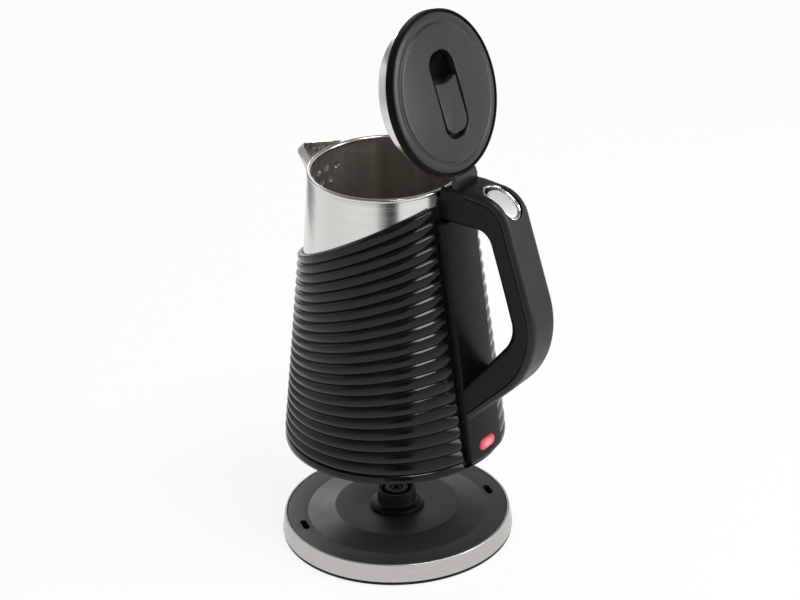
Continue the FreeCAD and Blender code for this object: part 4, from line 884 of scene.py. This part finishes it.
def frame_section(deep, edge):
    """Closed section as (depth, across): seat, chamfer at the parting line, side, rounded inner edge."""
    turn = np.linspace(0, math.pi / 2, 9)
    round_edge = np.stack([deep - edge + edge * np.sin(turn), HALF - edge + edge * np.cos(turn)], -1)
    seat = [(0, HALF / 2), (0, HALF - PARTING), (PARTING, HALF)]
    half_loop = np.concatenate([seat, round_edge, [(deep, HALF / 4)]])
    return np.concatenate([half_loop, half_loop[::-1] * (1, -1)])


sections = np.stack([frame_section(d, e) for d, e in zip(depth, edges)])
flat = seat_line[:, None, :] + to_gap[:, None, :] * sections[..., :1]
loop_grid = flared(np.stack([flat[..., 0], sections[..., 1], flat[..., 1]], -1))
print("inner frame:", loop_grid.shape[0], "sections of", loop_grid.shape[1], "points")

# %% [markdown]
# ## The head of the handle
# The frame carries on to the rim of the pot as a head, which holds the hinge of the lid in a slot. It is
# a bar with soft edges. The slot and the room for the pot are cut out of it, because both cross the soft
# edges.

# %% Head with the slot of the hinge
HEAD_FRONT, HEAD_TOP_EDGE, HEAD_LOW_EDGE = 50.0, 4.0, 3.0
SLOT_HALF, SLOT_FLOOR, SLOT_BACK = 12.2, 195.8, 66.7
SHOULDER_TOP = 195.5


def behind_pot(height):
    """Side of the head and the shoulder towards the pot, just outside the liner of the shell."""
    return float(liner_radius(height)) + 0.2


top_turn, low_turn = np.linspace(0, math.pi / 2, 9), np.linspace(0, math.pi / 2, 7)
top_round = HEAD_TOP_EDGE * np.stack([np.cos(top_turn) - 1, np.sin(top_turn) - 1], -1)
low_round = HEAD_LOW_EDGE * np.stack([np.sin(low_turn) - 1, 1 - np.cos(low_turn)], -1)
head_half = np.concatenate([low_round + (HALF, HEAD_LOW), top_round + (HALF, HANDLE_TOP)])
head_loop = np.concatenate([head_half, head_half[::-1] * (-1, 1)])
head_grid = np.stack([np.insert(head_loop, 0, x, axis=1) for x in np.linspace(HEAD_FRONT, FRONT, 8)])
slot_room = np.array([(40, SLOT_FLOOR), (SLOT_BACK, SLOT_FLOOR), (SLOT_BACK, 215), (40, 215)])
slot_cut = np.stack([np.insert(slot_room, 1, y, axis=1) for y in (-SLOT_HALF, SLOT_HALF)])
pot_low, pot_high = behind_pot(HEAD_LOW), behind_pot(SHOULDER_TOP)
pot_room = [(0, 170), (pot_low, 170), (pot_low, HEAD_LOW), (pot_high, SHOULDER_TOP)]
pot_room += [(pot_low + 1.5, SHOULDER_TOP), (pot_low + 1.5, 215), (0, 215)]
add_piece(
    "handle_head",
    "kettle",
    [satin_black],
    [body_of_loops(lifted(head_grid))],
    sharp=40,
    cutters=[body_of_loops(lifted(slot_cut)), lathe(pot_room, LIFT, 256)],
)

# %% [markdown]
# A black shoulder lies along the pot on both sides of the head and covers the upper end of the spine. It
# is one section swept round the pot: x = sqrt(r^2 - y^2). Beside the head it is lower, so its rows sink
# there.

# %% Shoulder along the pot
SHOULDER_HALF, SHOULDER_SIDE = 21.0, 188.5
shoulder_line = rounded(
    [
        (pot_low, HEAD_LOW),
        (float(crest_radius(HEAD_LOW)) - RIB_HEIGHT, HEAD_LOW),
        (float(crest_radius(SHOULDER_TOP)) - RIB_HEIGHT, SHOULDER_TOP),
        (pot_high, SHOULDER_TOP),
    ],
    [0, 0.3, 0.5, 0.2],
    4,
    True,
)
across = np.linspace(-SHOULDER_HALF, SHOULDER_HALF, 85)[:, None]
beside_head = np.interp(np.abs(across), [13.5, 15.5], [SHOULDER_TOP, SHOULDER_SIDE])
full_height = shoulder_line[None, :, 1]
kept_share = (beside_head - HEAD_LOW) / (SHOULDER_TOP - HEAD_LOW)
height = np.minimum(full_height, HEAD_LOW + (full_height - HEAD_LOW) * kept_share)
radius = shoulder_line[None, :, 0] + TAPER * (full_height - height)
shoulder_grid = np.stack([np.sqrt(radius**2 - across**2), across + 0 * radius, height], -1)
add_piece(
    "handle_inner_frame",
    "kettle",
    [satin_black],
    [body_of_loops(lifted(loop_grid)), body_of_loops(lifted(shoulder_grid))],
    ["handle_frame"],
    40,
)

# %% [markdown]
# ## The release button
# A silver pill in a bright frame, both laid over the bend. The frame's loops run over a half-round rim.
# The button's loops close to a slightly hollowed face. The pill is shorter than its frame, so a dark gap
# is left at the upper end.

# %% Release button and its frame
BUTTON_LENGTH, BUTTON_WIDTH, BUTTON_SHIFT, BUTTON_EDGE = 24.4, 13.8, -1.3, 1.7


def frame_loop(grow, over):
    """One loop of the bright frame, by how far it lies outside the middle of the rim."""
    return on_bend(polar_bar(FRAME_LENGTH + grow, FRAME_WIDTH + grow), over)


def button_loop(pull, over):
    """One loop of the button, by how far it lies inside the button's outline."""
    return on_bend(polar_bar(BUTTON_LENGTH - 2 * pull, BUTTON_WIDTH - 2 * pull, BUTTON_SHIFT), over)


frame_rows = [frame_loop(-FRAME_ROUND, -4.2)]
for a in np.linspace(0, math.pi, 9):
    frame_rows.append(frame_loop(-FRAME_ROUND * math.cos(a), -0.15 + 0.85 * math.sin(a)))
frame_rows.append(frame_loop(FRAME_ROUND, -4.2))
frame_body = patch(lifted(np.stack(frame_rows)), wrap_rows=True, wrap_cols=True)
add_piece("button_frame", "kettle", [chrome_trim], [frame_body], ["button_bezel"], 50)

button_rows = [button_loop(0, -7.8), button_loop(0, -1.4)]
for a in np.linspace(0.15, 1, 6) * math.pi / 2:
    button_rows.append(button_loop(BUTTON_EDGE * (1 - math.cos(a)), -1.4 + math.sin(a)))
face_loop = polar_bar(BUTTON_LENGTH - 2 * BUTTON_EDGE, BUTTON_WIDTH - 2 * BUTTON_EDGE)
for share_in in (0.3, 0.6, 0.85):
    loop = face_loop * (1 - 0.5 * share_in, 1 - share_in) + (BUTTON_SHIFT, 0)
    button_rows.append(on_bend(loop, -0.4 - 0.25 * share_in))
button_body = body_of_loops(lifted(np.stack(button_rows)))
add_piece(
    "silver_button", "release_button", [silver_paint], [button_body], ["release_button"], 50
)

# %% [markdown]
# ## The lid
# The lid is drawn closed and swung open by 73 degrees about its hinge, as it sits at rest. So every loop
# of it can be laid out level round the pot's axis, and the turn comes last.

# %% Lid frame of reference
HINGE = np.array([63.2, 0.0, 201.2])
OPEN = math.radians(73)
UNDER, BED, LID_EDGE, LID_RADIUS = 200.6, 204.2, 206.6, 54.2


def swung(points):
    """Turns points of the closed lid about the hinge, then lifts them with the kettle."""
    reach = np.asarray(points, float) - HINGE
    x = reach[..., 0] * math.cos(OPEN) + reach[..., 2] * math.sin(OPEN)
    z = -reach[..., 0] * math.sin(OPEN) + reach[..., 2] * math.cos(OPEN)
    return np.stack([x, reach[..., 1], z], -1) + HINGE + (0, 0, LIFT)


def lid_lathe(profile, closed=False, finish=0, count=256):
    """A profile turned about the axis of the closed lid, then swung open with it."""
    turned = lathe(profile, 0, count, closed, finish)
    turned["points"] = swung(turned["points"])
    return turned


def level(outline, height):
    """Sets an outline (x, y) at one height, or each of its points at a height of its own."""
    return np.column_stack([outline, np.broadcast_to(height, len(outline))])


def far(outline):
    """Distance of each point of an outline from the axis of the lid."""
    return np.linalg.norm(outline, axis=1)


print("the lid swings by", round(math.degrees(OPEN)), "degrees about x =", HINGE[0], "z =", HINGE[2])

# %% [markdown]
# The grey cover has a long recess in a round dome. Each loop of its grid blends from the outline of the
# recess to a circle. No boolean is needed that way, and the edge of the recess can be soft.

# %% Lid cover with its recess
RECESS_EDGE, PLAIN, OUTER, OUTER_EDGE = 0.9, 43.0, 51.3, 1.1


def dome(radius):
    """Top of the lid's cover: a shallow dome, a soft ring valley at 46.5 mm and a falling edge."""
    radius = np.asarray(radius, float)
    crown = 2.8 * np.clip(1 - (radius / 46) ** 2, 0, 1)
    fall = np.clip((radius - 47.6) / 4.4, 0, 1) ** 2
    valley = 0.75 * np.exp(-(((radius - 46.5) / 1.5) ** 2))
    return 207.0 + crown - fall - valley


def recess(grow):
    """Outline of the recess, grown by a distance on every side."""
    return polar_bar(58.5 + 2 * grow, 25.5 + 2 * grow, 1.3, 11.0 + grow)


recess_rows = [level(recess(0), BED), level(recess(0), dome(far(recess(0))) - RECESS_EDGE)]
for a in np.linspace(0.2, 1, 5) * math.pi / 2:
    loop = recess(RECESS_EDGE * (1 - math.cos(a)))
    recess_rows.append(level(loop, dome(far(loop)) - RECESS_EDGE + RECESS_EDGE * math.sin(a)))
for share_out in np.linspace(0, 1, 18)[1:]:
    loop = recess(RECESS_EDGE) * (1 - share_out) + ring(PLAIN) * share_out
    recess_rows.append(level(loop, dome(far(loop))))
recess_rows += [level(ring(r), dome(r)) for r in np.linspace(PLAIN, OUTER, 34)[1:]]
for a in np.linspace(0.2, 1, 5) * math.pi / 2:
    edge_height = dome(OUTER) - OUTER_EDGE + OUTER_EDGE * math.cos(a)
    recess_rows.append(level(ring(OUTER + OUTER_EDGE * math.sin(a)), edge_height))
recess_rows.append(level(ring(OUTER + OUTER_EDGE), BED))
cover_body = patch(swung(np.stack(recess_rows)), wrap_rows=True, wrap_cols=True)
add_piece("lid_grey_cover", "lid", [lid_grey], [cover_body], ["lid_cover"], 50)

# %% [markdown]
# ## Under the cover
# The black body carries the scooped finger well, the rim round the cover and the tongue of the hinge.
# Scoop, bed, rim and cup are one run of loops from the bottom of the scoop over the rim to the bottom of
# the cup. The scoop is a bowl: depth = 10.5 (1 - s^2) over outlines scaled by s.

# %% Lid body
WELL_MIDDLE, SCOOP, BED_RADIUS, UNDER_RADIUS = -12.2, 10.5, 52.6, 50.0
WELL = polar_bar(33.0, 25.5, WELL_MIDDLE, 11.0)
CUP = polar_bar(36.2, 28.7, WELL_MIDDLE, 12.0)


def drawn_in(outline, share):
    """An outline scaled about the middle of the finger well."""
    middle = np.array([WELL_MIDDLE, 0.0])
    return (outline - middle) * share + middle


scoop_rows = []
for share in np.linspace(0.04, 1, 14):
    scoop_rows.append(level(drawn_in(WELL, share), BED - 0.6 - SCOOP * (1 - share * share)))
scoop_rows.append(level(WELL, BED))
bed_rows = [level(WELL * (1 - s) + ring(BED_RADIUS) * s, BED) for s in np.linspace(0, 1, 6)]
rim_corners = [(BED_RADIUS, BED), (BED_RADIUS, LID_EDGE), (LID_RADIUS, LID_EDGE), (LID_RADIUS, UNDER)]
rim_line = rounded(rim_corners + [(UNDER_RADIUS, UNDER)], [0, 0.3, 0.7, 0.9, 0], 4)
rim_rows = [level(ring(r), z) for r, z in rim_line]
rim_rows += [level(ring(UNDER_RADIUS) * (1 - s) + CUP * s, UNDER) for s in (0.33, 0.66, 1)]
rim_rows += [level(CUP, 191.0), level(drawn_in(CUP, 0.97), 190.3)]
print("finger well:", SCOOP, "mm deep below its edge")

# %% [markdown]
# The tongue is the lid's half of the hinge: a flat arm that ends in a barrel round the pin. Its side view
# is carried across the lid, and the corners at both ends are softened.

# %% Tongue of the hinge
BARREL, TONGUE_HALF, TONGUE_TOP = 2.6, 12.0, 204.6


def carried(outline, half, edge):
    """An outline in the (x, z) plane carried from -half to +half along Y, with softened ends."""
    rows = [(edge, -half), (0.0, -half + edge), (0.0, half - edge), (edge, half)]
    return np.stack([np.insert(inset(outline, d), 1, y, axis=1) for d, y in rows])


barrel = arc((HINGE[0], HINGE[2]), BARREL, 225, 440, 22)
arm_top = [(60.2, 204.2), (59.4, TONGUE_TOP), (55.0, TONGUE_TOP), (55.0, 204.0), (48, 204.0)]
tongue = np.concatenate([[(48, UNDER), (58, UNDER)], barrel, arm_top])
add_piece(
    "lid_black_body",
    "lid",
    [well_black, lid_grey, rim_black],
    [
        patch(swung(np.stack(scoop_rows)), wrap_cols=True, caps=(True, False)),
        patch(swung(np.stack(bed_rows)), wrap_cols=True),
        patch(swung(np.stack(rim_rows)), wrap_cols=True, caps=(False, True), finish=2),
        body_of_loops(swung(carried(tongue, TONGUE_HALF, 0.5)), finish=1),
    ],
    ["lid_body"],
    40,
)

# %% [markdown]
# ## Catch, plug and seal
# The catch is a plate that slides in the recess, with a hollow front edge for the fingertip. Its outline
# is an arc for the hollow and rounded corners. A slab with a soft upper edge and a low crown stands on
# it.

# %% Catch
CATCH_HALF, CATCH_FRONT, CATCH_BACK, HOLLOW = 11.4, -9.6, 27.0, 28.0
hollow = arc((-7.0 - HOLLOW, 0), HOLLOW, 24.0, -24.0, 22)
catch_corners = [
    (CATCH_FRONT, -CATCH_HALF),
    (CATCH_BACK, -CATCH_HALF),
    (CATCH_BACK, CATCH_HALF),
    (CATCH_FRONT, CATCH_HALF),
]
catch_outline = np.concatenate(
    [
        rounded(catch_corners, [0, 8.6, 8.6, 0], 10)[1:-1],
        rounded([(0, CATCH_HALF), hollow[0], hollow[4]], [0, 2.0, 0], 6)[1:-1],
        hollow[4:-4],
        rounded([hollow[-5], hollow[-1], (0, -CATCH_HALF)], [0, 2.0, 0], 6)[1:-1],
    ]
)
catch_grid = slab(catch_outline, BED + 0.3, BED + 4.9, 0.8)
crown = 0.35 * np.clip(1 - (catch_grid[..., 1] / CATCH_HALF) ** 2, 0, 1)
catch_grid[..., 2] += crown * (catch_grid[..., 2] > BED + 2)
catch_body = body_of_loops(swung(catch_grid))
add_piece("sliding_catch", "lid_catch", [lid_grey], [catch_body], ["lid_catch"], 50)

# %% [markdown]
# The steel plug under the lid closes the mouth of the pot. It is pressed from sheet like a pan, so it is
# turned on the lathe with one wall thickness. The silicone seal is a ring with a soft lip.

# %% Plug and seal
PLUG, PLUG_WALL, PLUG_LOW = 46.0, 0.8, 187.6
plug_line = rounded(
    [
        (0, PLUG_LOW),
        (PLUG, PLUG_LOW),
        (PLUG, UNDER),
        (PLUG - PLUG_WALL, UNDER),
        (PLUG - PLUG_WALL, PLUG_LOW + PLUG_WALL),
        (0, PLUG_LOW + PLUG_WALL),
    ],
    [0, 1.6, 0.2, 0.2, 1.0, 0],
)
add_piece("steel_plug", "lid", [bright_steel], [lid_lathe(plug_line)], ["lid_plate"], 40)
seal_corners = [(47.1, UNDER), (50.5, UNDER), (50.3, 200.2), (47.1, 199.3)]
seal_line = rounded(seal_corners, [0.05, 0.15, 0.15, 0.3], 4, True)
add_piece("silicone_seal", "lid", [silicone], [lid_lathe(seal_line, True)], ["lid_seal"])

# %% [markdown]
# ## The base
# The base takes the lead at its back and lets spilt water out through two drain slots. Both openings
# cross turned shapes, so they are made as cutters: a tube along the lead and two bars along the ring of
# the cover.

# %% Inlet of the lead and drain slots
INLET_TURN, INLET_HEIGHT, INLET_ROOM = math.radians(143.5), 9.0, 5.2
INLET_WAY = np.array([math.cos(INLET_TURN), math.sin(INLET_TURN), 0])
INLET_SIDE = np.array([-math.sin(INLET_TURN), math.cos(INLET_TURN), 0])
DRAIN_TURN, DRAIN_RADIUS, DRAIN_LENGTH, DRAIN_WIDTH = 53.5, 67.0, 12.5, 4.6


def inlet_tube(profile, closed=True, count=64):
    """A profile of (radius, distance) turned about the inlet of the lead, which points out of the base."""
    profile = np.asarray(profile, float)
    angle = np.arange(count) * 2 * math.pi / count
    ring_way = np.cos(angle)[:, None] * INLET_SIDE + np.sin(angle)[:, None] * np.array([0, 0, 1.0])
    points = profile[:, None, :1] * ring_way + profile[:, None, 1:] * INLET_WAY + (0, 0, INLET_HEIGHT)
    return patch(points, wrap_rows=closed, wrap_cols=True)


def drain(index):
    """A slot along the ring of the cover, as a cutter."""
    turn = math.radians(DRAIN_TURN + 180 * index)
    out = np.array([math.cos(turn), math.sin(turn)])
    side = np.array([-math.sin(turn), math.cos(turn)])
    loop = polar_bar(DRAIN_LENGTH, DRAIN_WIDTH, 0, None, 64)
    flat = DRAIN_RADIUS * out + loop[:, :1] * side + loop[:, 1:] * out
    return body_of_loops(np.stack([level(flat, 4.5), level(flat, 25)]))


inlet_room = inlet_tube([(0, 66.0), (INLET_ROOM, 66.0), (INLET_ROOM, 90), (0, 90)], False)
print("drain slots:", DRAIN_LENGTH, "by", DRAIN_WIDTH, "mm")

# %% [markdown]
# The base itself is four turned pieces: a brushed steel ring with a soft top edge, a black cover with a
# raised middle, the plate that shows as a thin black line under the ring, and the rubber foot. The rubber
# inlet of the lead sits in its opening.

# %% Base
ring_line = rounded([(79.95, 3.4), (78, 16), (76.6, 16), (78.6, 3.4)], [0.4, 0.7, 0.4, 0.3], 6, True)
ring_body = lathe(ring_line, 0, 256, True)
add_piece("base_steel_ring", "base", [base_steel], [ring_body], ["base_ring"], 40, [inlet_room])
cover_corners = [(13.8, 3.1), (13.8, 19), (43, 19), (62, 15.6), (76.4, 15.6), (76.4, 3.1)]
cover_line = rounded(cover_corners, [0, 0.5, 2.0, 2.0, 0.6, 0], 6, True)
add_piece(
    "base_black_cover",
    "base",
    [base_black],
    [lathe(cover_line, 0, 224, True)],
    ["base_cover"],
    40,
    [drain(0), drain(1), inlet_room],
)
plate_line = rounded([(0, 1), (79.5, 1), (79.5, 3), (0, 3)], [0, 0.5, 0.3, 0], 4)
plate_body = lathe(plate_line, 0, 224)
add_piece("base_black_plate", "base", [satin_black], [plate_body], ["base_plate"])
foot_line = rounded([(66.5, 0), (71.5, 0), (71.5, 1), (66.5, 1)], [0.4, 0.4, 0, 0], 4, True)
add_piece("rubber_foot", "base", [rubber], [lathe(foot_line, 0, 192, True)], ["foot_ring"])
inlet_line = rounded([(3.6, 67.5), (5.1, 67.5), (5.1, 81.5), (3.6, 81.5)], [0, 0, 0.7, 0.5], 5, True)
add_piece("lead_inlet", "base", [rubber], [inlet_tube(inlet_line)], ["cord_inlet"])

# %% [markdown]
# ## The turret
# The round connector has a collar and a ring groove round a middle post, so several rings show from
# above. It is one profile from the outside to the middle, and each corner comes with its rounding.

# %% Turret
collar = [(0, 3.3, 0), (13.5, 3.3, 0), (13.5, 19.3, 0.2), (18.6, 19.3, 0.5), (18.6, 20.9, 0.5)]
sleeve = [(16.4, 22.1, 0.8), (13.5, 22.4, 0.6), (13.5, 31.8, 0.8), (11.6, 31.8, 0.4), (11.6, 29.8, 0.1)]
groove = [(10.9, 29.8, 0.1), (10.9, 31.2, 0.15), (10.4, 31.2, 0.15), (10.4, 26.8, 0.3), (7.9, 26.8, 0.3)]
post = [(7.9, 31.8, 0.4), (4.6, 31.8, 0.4), (4.6, 30.6, 0.2), (3.2, 30.6, 0.2), (3.2, 31.8, 0.4)]
bore = [(2.2, 31.8, 0.4), (2.2, 24.8, 0.2), (0, 24.8, 0)]
turret_corners = np.array(collar + sleeve + groove + post + bore)
turret_line = rounded(turret_corners[:, :2], turret_corners[:, 2], 4)
turret_body = lathe(turret_line, 0, 128)
add_piece("connector_turret", "turret", [satin_black], [turret_body], ["turret"], 40)

# %% [markdown]
# ## The underside of the kettle
# The bottom cover stands on its own foot ring and leaves a hollow for the raised middle of the base. The
# socket is a turned bush whose bore takes the turret. Both are lathe profiles with softened corners.

# %% Bottom cover and socket
bottom_line = rounded(
    [(23.1, 4.5), (62.5, 4.5), (62.5, 0), (74.7, 0), (74.7, 1), (71.3, 1), (71.3, 6.7), (23.1, 6.7)],
    [0.3, 1.5, 1.0, 0.6, 0.2, 0.2, 0.3, 0.2],
    5,
    True,
)
bottom_body = lathe(bottom_line, LIFT, 224, True)
add_piece("kettle_bottom", "kettle", [satin_black], [bottom_body], ["bottom_cover"], 40)
socket_line = rounded(
    [(0, 16.5), (14.2, 16.5), (14.2, 6.8), (19.3, 6.8), (19.3, 4.5), (23, 4.5), (23, 18.7), (0, 18.7)],
    [0, 0.6, 0.8, 0.5, 0.6, 0.5, 0.8, 0],
    5,
)
socket_body = lathe(socket_line, LIFT, 128)
add_piece("connector_socket", "kettle", [satin_black], [socket_body], ["kettle_socket"], 40)

# %% [markdown]
# ## Pieces that stay as CAD
# What is hidden or plain keeps its CAD mesh and only takes a finish.

# %% Finishes for the remaining nodes
REMAINING = {
    "heat_spreader": aluminium,
    "heating_element": sheath,
    "control_unit": control_white,
    "socket_contacts": brass,
    "hinge_pin": bright_steel,
    "steam_switch": control_white,
    "bimetal_disc": brass,
    "indicator_lamp": silicone,
    "steam_elbow": silicone,
    "steam_tube": silicone,
}
for node, finish in REMAINING.items():
    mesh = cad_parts[node].data
    mesh.materials.clear()
    mesh.materials.append(finish)
print(len(REMAINING), "CAD nodes take a finish")

# %% [markdown]
# ## Studio
# A pale floor, white surroundings and soft lamps. The floor is mostly plain white to the camera and to
# mirrors. A share of its own shading is kept, so that the kettle still throws its shadow.

# %% Floor
SHOWN_WHITE = 0.86


def seen_directly(tree):
    """One for rays from the camera, from mirrors and through glass; zero for the light on other surfaces."""
    path = tree.nodes.new("ShaderNodeLightPath")
    value = path.outputs["Is Camera Ray"]
    for kind in ("Is Glossy Ray", "Is Transmission Ray"):
        either = tree.nodes.new("ShaderNodeMath")
        either.operation = "MAXIMUM"
        tree.links.new(value, either.inputs[0])
        tree.links.new(path.outputs[kind], either.inputs[1])
        value = either.outputs[0]
    return value


def blend(tree, share, first, second):
    """Mixes two shaders by a share."""
    mixer = tree.nodes.new("ShaderNodeMixShader")
    tree.links.new(share, mixer.inputs["Fac"])
    tree.links.new(first, mixer.inputs[1])
    tree.links.new(second, mixer.inputs[2])
    return mixer.outputs[0]


floor_finish, floor_tree, floor_shader = new_finish("pale_floor")
floor_shader.inputs["Roughness"].default_value = 0.9
floor_shader.inputs["Specular IOR Level"].default_value = 0.0
floor_shader.inputs["Base Color"].default_value = (0.86, 0.86, 0.86, 1)
plain_white = floor_tree.nodes.new("ShaderNodeEmission")
kept = floor_tree.nodes.new("ShaderNodeMath")
kept.operation = "MULTIPLY"
kept.inputs[1].default_value = SHOWN_WHITE
floor_tree.links.new(seen_directly(floor_tree), kept.inputs[0])
floor_out = blend(floor_tree, kept.outputs[0], floor_shader.outputs[0], plain_white.outputs[0])
floor_tree.links.new(floor_out, floor_tree.nodes["Material Output"].inputs["Surface"])
floor_mesh = bpy.data.meshes.new("floor")
floor_mesh.from_pydata([(-6, -6, 0), (6, -6, 0), (6, 6, 0), (-6, 6, 0)], [], [(0, 1, 2, 3)])
floor = bpy.data.objects.new("floor", floor_mesh)
floor_mesh.materials.append(floor_finish)
bpy.context.scene.collection.objects.link(floor)
print("floor:", SHOWN_WHITE, "of it is plain white to the camera")

# %% [markdown]
# The surroundings light every surface evenly and are white to the camera. To mirrors they darken
# overhead, as the ceiling of a studio does, so steel keeps dark upper parts.

# %% Surroundings
world = bpy.data.worlds.new("studio")
bpy.context.scene.world = world
world.use_nodes = True
wtree = world.node_tree
wtree.nodes.clear()
soft, white = wtree.nodes.new("ShaderNodeBackground"), wtree.nodes.new("ShaderNodeBackground")
soft.inputs["Color"].default_value = white.inputs["Color"].default_value = (1, 1, 1, 1)
soft.inputs["Strength"].default_value = 0.45
direction = wtree.nodes.new("ShaderNodeSeparateXYZ")
wtree.links.new(wtree.nodes.new("ShaderNodeTexCoord").outputs["Generated"], direction.inputs[0])
ceiling = wtree.nodes.new("ShaderNodeMapRange")
for socket, number in zip(("From Min", "From Max", "To Min", "To Max"), (0.15, 0.6, 1.0, 0.14)):
    ceiling.inputs[socket].default_value = number
wtree.links.new(direction.outputs["Z"], ceiling.inputs["Value"])
shown = wtree.nodes.new("ShaderNodeMath")
shown.operation = "MAXIMUM"
wtree.links.new(wtree.nodes.new("ShaderNodeLightPath").outputs["Is Camera Ray"], shown.inputs[0])
wtree.links.new(ceiling.outputs["Result"], shown.inputs[1])
wtree.links.new(shown.outputs[0], white.inputs["Strength"])
surroundings = blend(wtree, seen_directly(wtree), soft.outputs[0], white.outputs[0])
world_out = wtree.nodes.new("ShaderNodeOutputWorld")
wtree.links.new(surroundings, world_out.inputs["Surface"])
print("surroundings light by", round(soft.inputs["Strength"].default_value, 2))

# %% [markdown]
# Three soft lamps look at the kettle: one high on the right, a tall one at the right and a weak one
# behind the left. They are rectangles, as softboxes are.


# %% Lamps
def around(azimuth, elevation, distance, centre=(0, 0, 0.18)):
    """A point by azimuth and elevation in degrees; azimuth 0 is in front, towards -Y, and 90 towards +X."""
    a, e = math.radians(azimuth), math.radians(elevation)
    way = np.array([math.sin(a) * math.cos(e), -math.cos(a) * math.cos(e), math.sin(e)])
    return np.array(centre) + way * distance


def turned_to(place, centre=(0, 0, 0.18)):
    """Axes (right, up, back) of something at a place that looks at a centre."""
    back = np.asarray(place) - np.asarray(centre)
    back /= np.linalg.norm(back)
    right = np.cross((0, 0, 1), back)
    right /= np.linalg.norm(right)
    return right, np.cross(back, right), back


def lamp(name, azimuth, elevation, distance, size, power):
    """A soft rectangular lamp that looks at the kettle."""
    data = bpy.data.lights.new(name, "AREA")
    data.shape = "RECTANGLE"
    data.size, data.size_y = size
    data.energy = power
    lamp_object = bpy.data.objects.new(name, data)
    place = around(azimuth, elevation, distance)
    matrix = np.eye(4)
    matrix[:3, :3] = np.stack(turned_to(place), 1)
    matrix[:3, 3] = place
    lamp_object.matrix_world = matrix.T
    bpy.context.scene.collection.objects.link(lamp_object)
    print(name, power, "W")


lamp("top_lamp", 72, 64, 1.6, (0.52, 0.52), 12)
lamp("right_lamp", 112, 24, 1.7, (0.6, 1.4), 16)
lamp("left_lamp", -122, 25, 1.8, (0.7, 0.9), 5.5)

# %% [markdown]
# Bright metal and gloss black show what stands round them. So a curved screen stands before the kettle,
# which only reflections see. Its tone runs from grey on the left over a dark flag to white on the right,
# as black flags and white cards are set up in a product studio. In front it also darkens towards its
# upper edge.

# %% Screen for reflections
SCREEN_RADIUS, SCREEN_ROWS = 0.62, (0.002, 0.16, 0.34, 0.72)
LEFT_TONES = [(-122, 0.9), (-110, 0.35), (-98, 0.3), (-86, 0.6), (-78, 0.95), (-40, 0.86)]
FRONT_TONES = [(0, 0.95), (22, 0.9), (27, 0.4), (33, 0.3), (36, 0.05), (49, 0.05)]
RIGHT_TONES = [(52, 1.0), (90, 1.0)]
screen_tones = np.array(LEFT_TONES + FRONT_TONES + RIGHT_TONES)
angle = np.radians(np.linspace(screen_tones[0, 0], screen_tones[-1, 0], 213))
screen_line = SCREEN_RADIUS * np.stack([np.sin(angle), -np.cos(angle)], -1)
screen_points = np.stack([np.insert(screen_line, 2, z, axis=1) for z in SCREEN_ROWS])
screen_mesh = new_mesh("reflection_screen", [patch(screen_points / MM)])
screen = bpy.data.objects.new("reflection_screen", screen_mesh)
bpy.context.scene.collection.objects.link(screen)
screen_finish, screen_tree, screen_shader = new_finish("screen_tones")
screen_tree.nodes.remove(screen_shader)
tone = screen.data.attributes.new("tone", "FLOAT", "POINT")
spots = np.zeros(len(screen.data.vertices) * 3, np.float32)
screen.data.vertices.foreach_get("co", spots)
where = np.degrees(np.arctan2(spots[0::3], -spots[1::3]))
in_front = np.interp(where, [-70, -20, 48, 60], [0, 1, 1, 0.3])
darker_above = np.interp(spots[2::3], [0, 0.16, 0.34, 0.72], [0, 0, 0.5, 0.8])
shade = np.interp(where, *screen_tones.T) * (1 - in_front * darker_above)
tone.data.foreach_set("value", shade.astype(np.float32))
reading = screen_tree.nodes.new("ShaderNodeAttribute")
reading.attribute_name = "tone"
glow = screen_tree.nodes.new("ShaderNodeEmission")
screen_tree.links.new(reading.outputs["Fac"], glow.inputs["Strength"])
screen_tree.links.new(glow.outputs["Emission"], screen_tree.nodes["Material Output"].inputs["Surface"])
screen.data.materials.append(screen_finish)
screen.visible_camera = screen.visible_diffuse = False
screen.visible_shadow = screen.visible_transmission = False
print("screen tones from", round(float(shade.min()), 2), "to", round(float(shade.max()), 2))

# %% [markdown]
# ## Camera
# The photograph's camera stands 36 degrees round from the side, 27 degrees up and a little rolled. The
# lens is long, so the ellipses of rim, foot and base keep nearly one shape.

# %% Camera
AZIMUTH, ELEVATION, ROLL = math.radians(36), math.radians(26.94), math.radians(-1.84)
DISTANCE, LENS, SENSOR = 2.155, 144.0, 36.0
outward = np.array([math.sin(AZIMUTH), -math.cos(AZIMUTH), 0])
back = math.cos(ELEVATION) * outward + np.array([0, 0, math.sin(ELEVATION)])
right = np.array([math.cos(AZIMUTH), math.sin(AZIMUTH), 0])
up = np.cross(back, right)
aim = 0.0066 * right + np.array([0, 0, 0.1769])
matrix = np.eye(4)
matrix[:3, 0] = math.cos(ROLL) * right + math.sin(ROLL) * up
matrix[:3, 1] = -math.sin(ROLL) * right + math.cos(ROLL) * up
matrix[:3, 2] = back
matrix[:3, 3] = aim + DISTANCE * back
camera_data = bpy.data.cameras.new("camera")
camera_data.lens, camera_data.sensor_width = LENS, SENSOR
camera_data.clip_start, camera_data.clip_end = 0.05, 50
camera = bpy.data.objects.new("camera", camera_data)
camera.matrix_world = matrix.T
bpy.context.scene.collection.objects.link(camera)
bpy.context.scene.camera = camera
bpy.context.scene.view_settings.view_transform = "Standard"
print("camera:", LENS, "mm lens at", DISTANCE, "m")
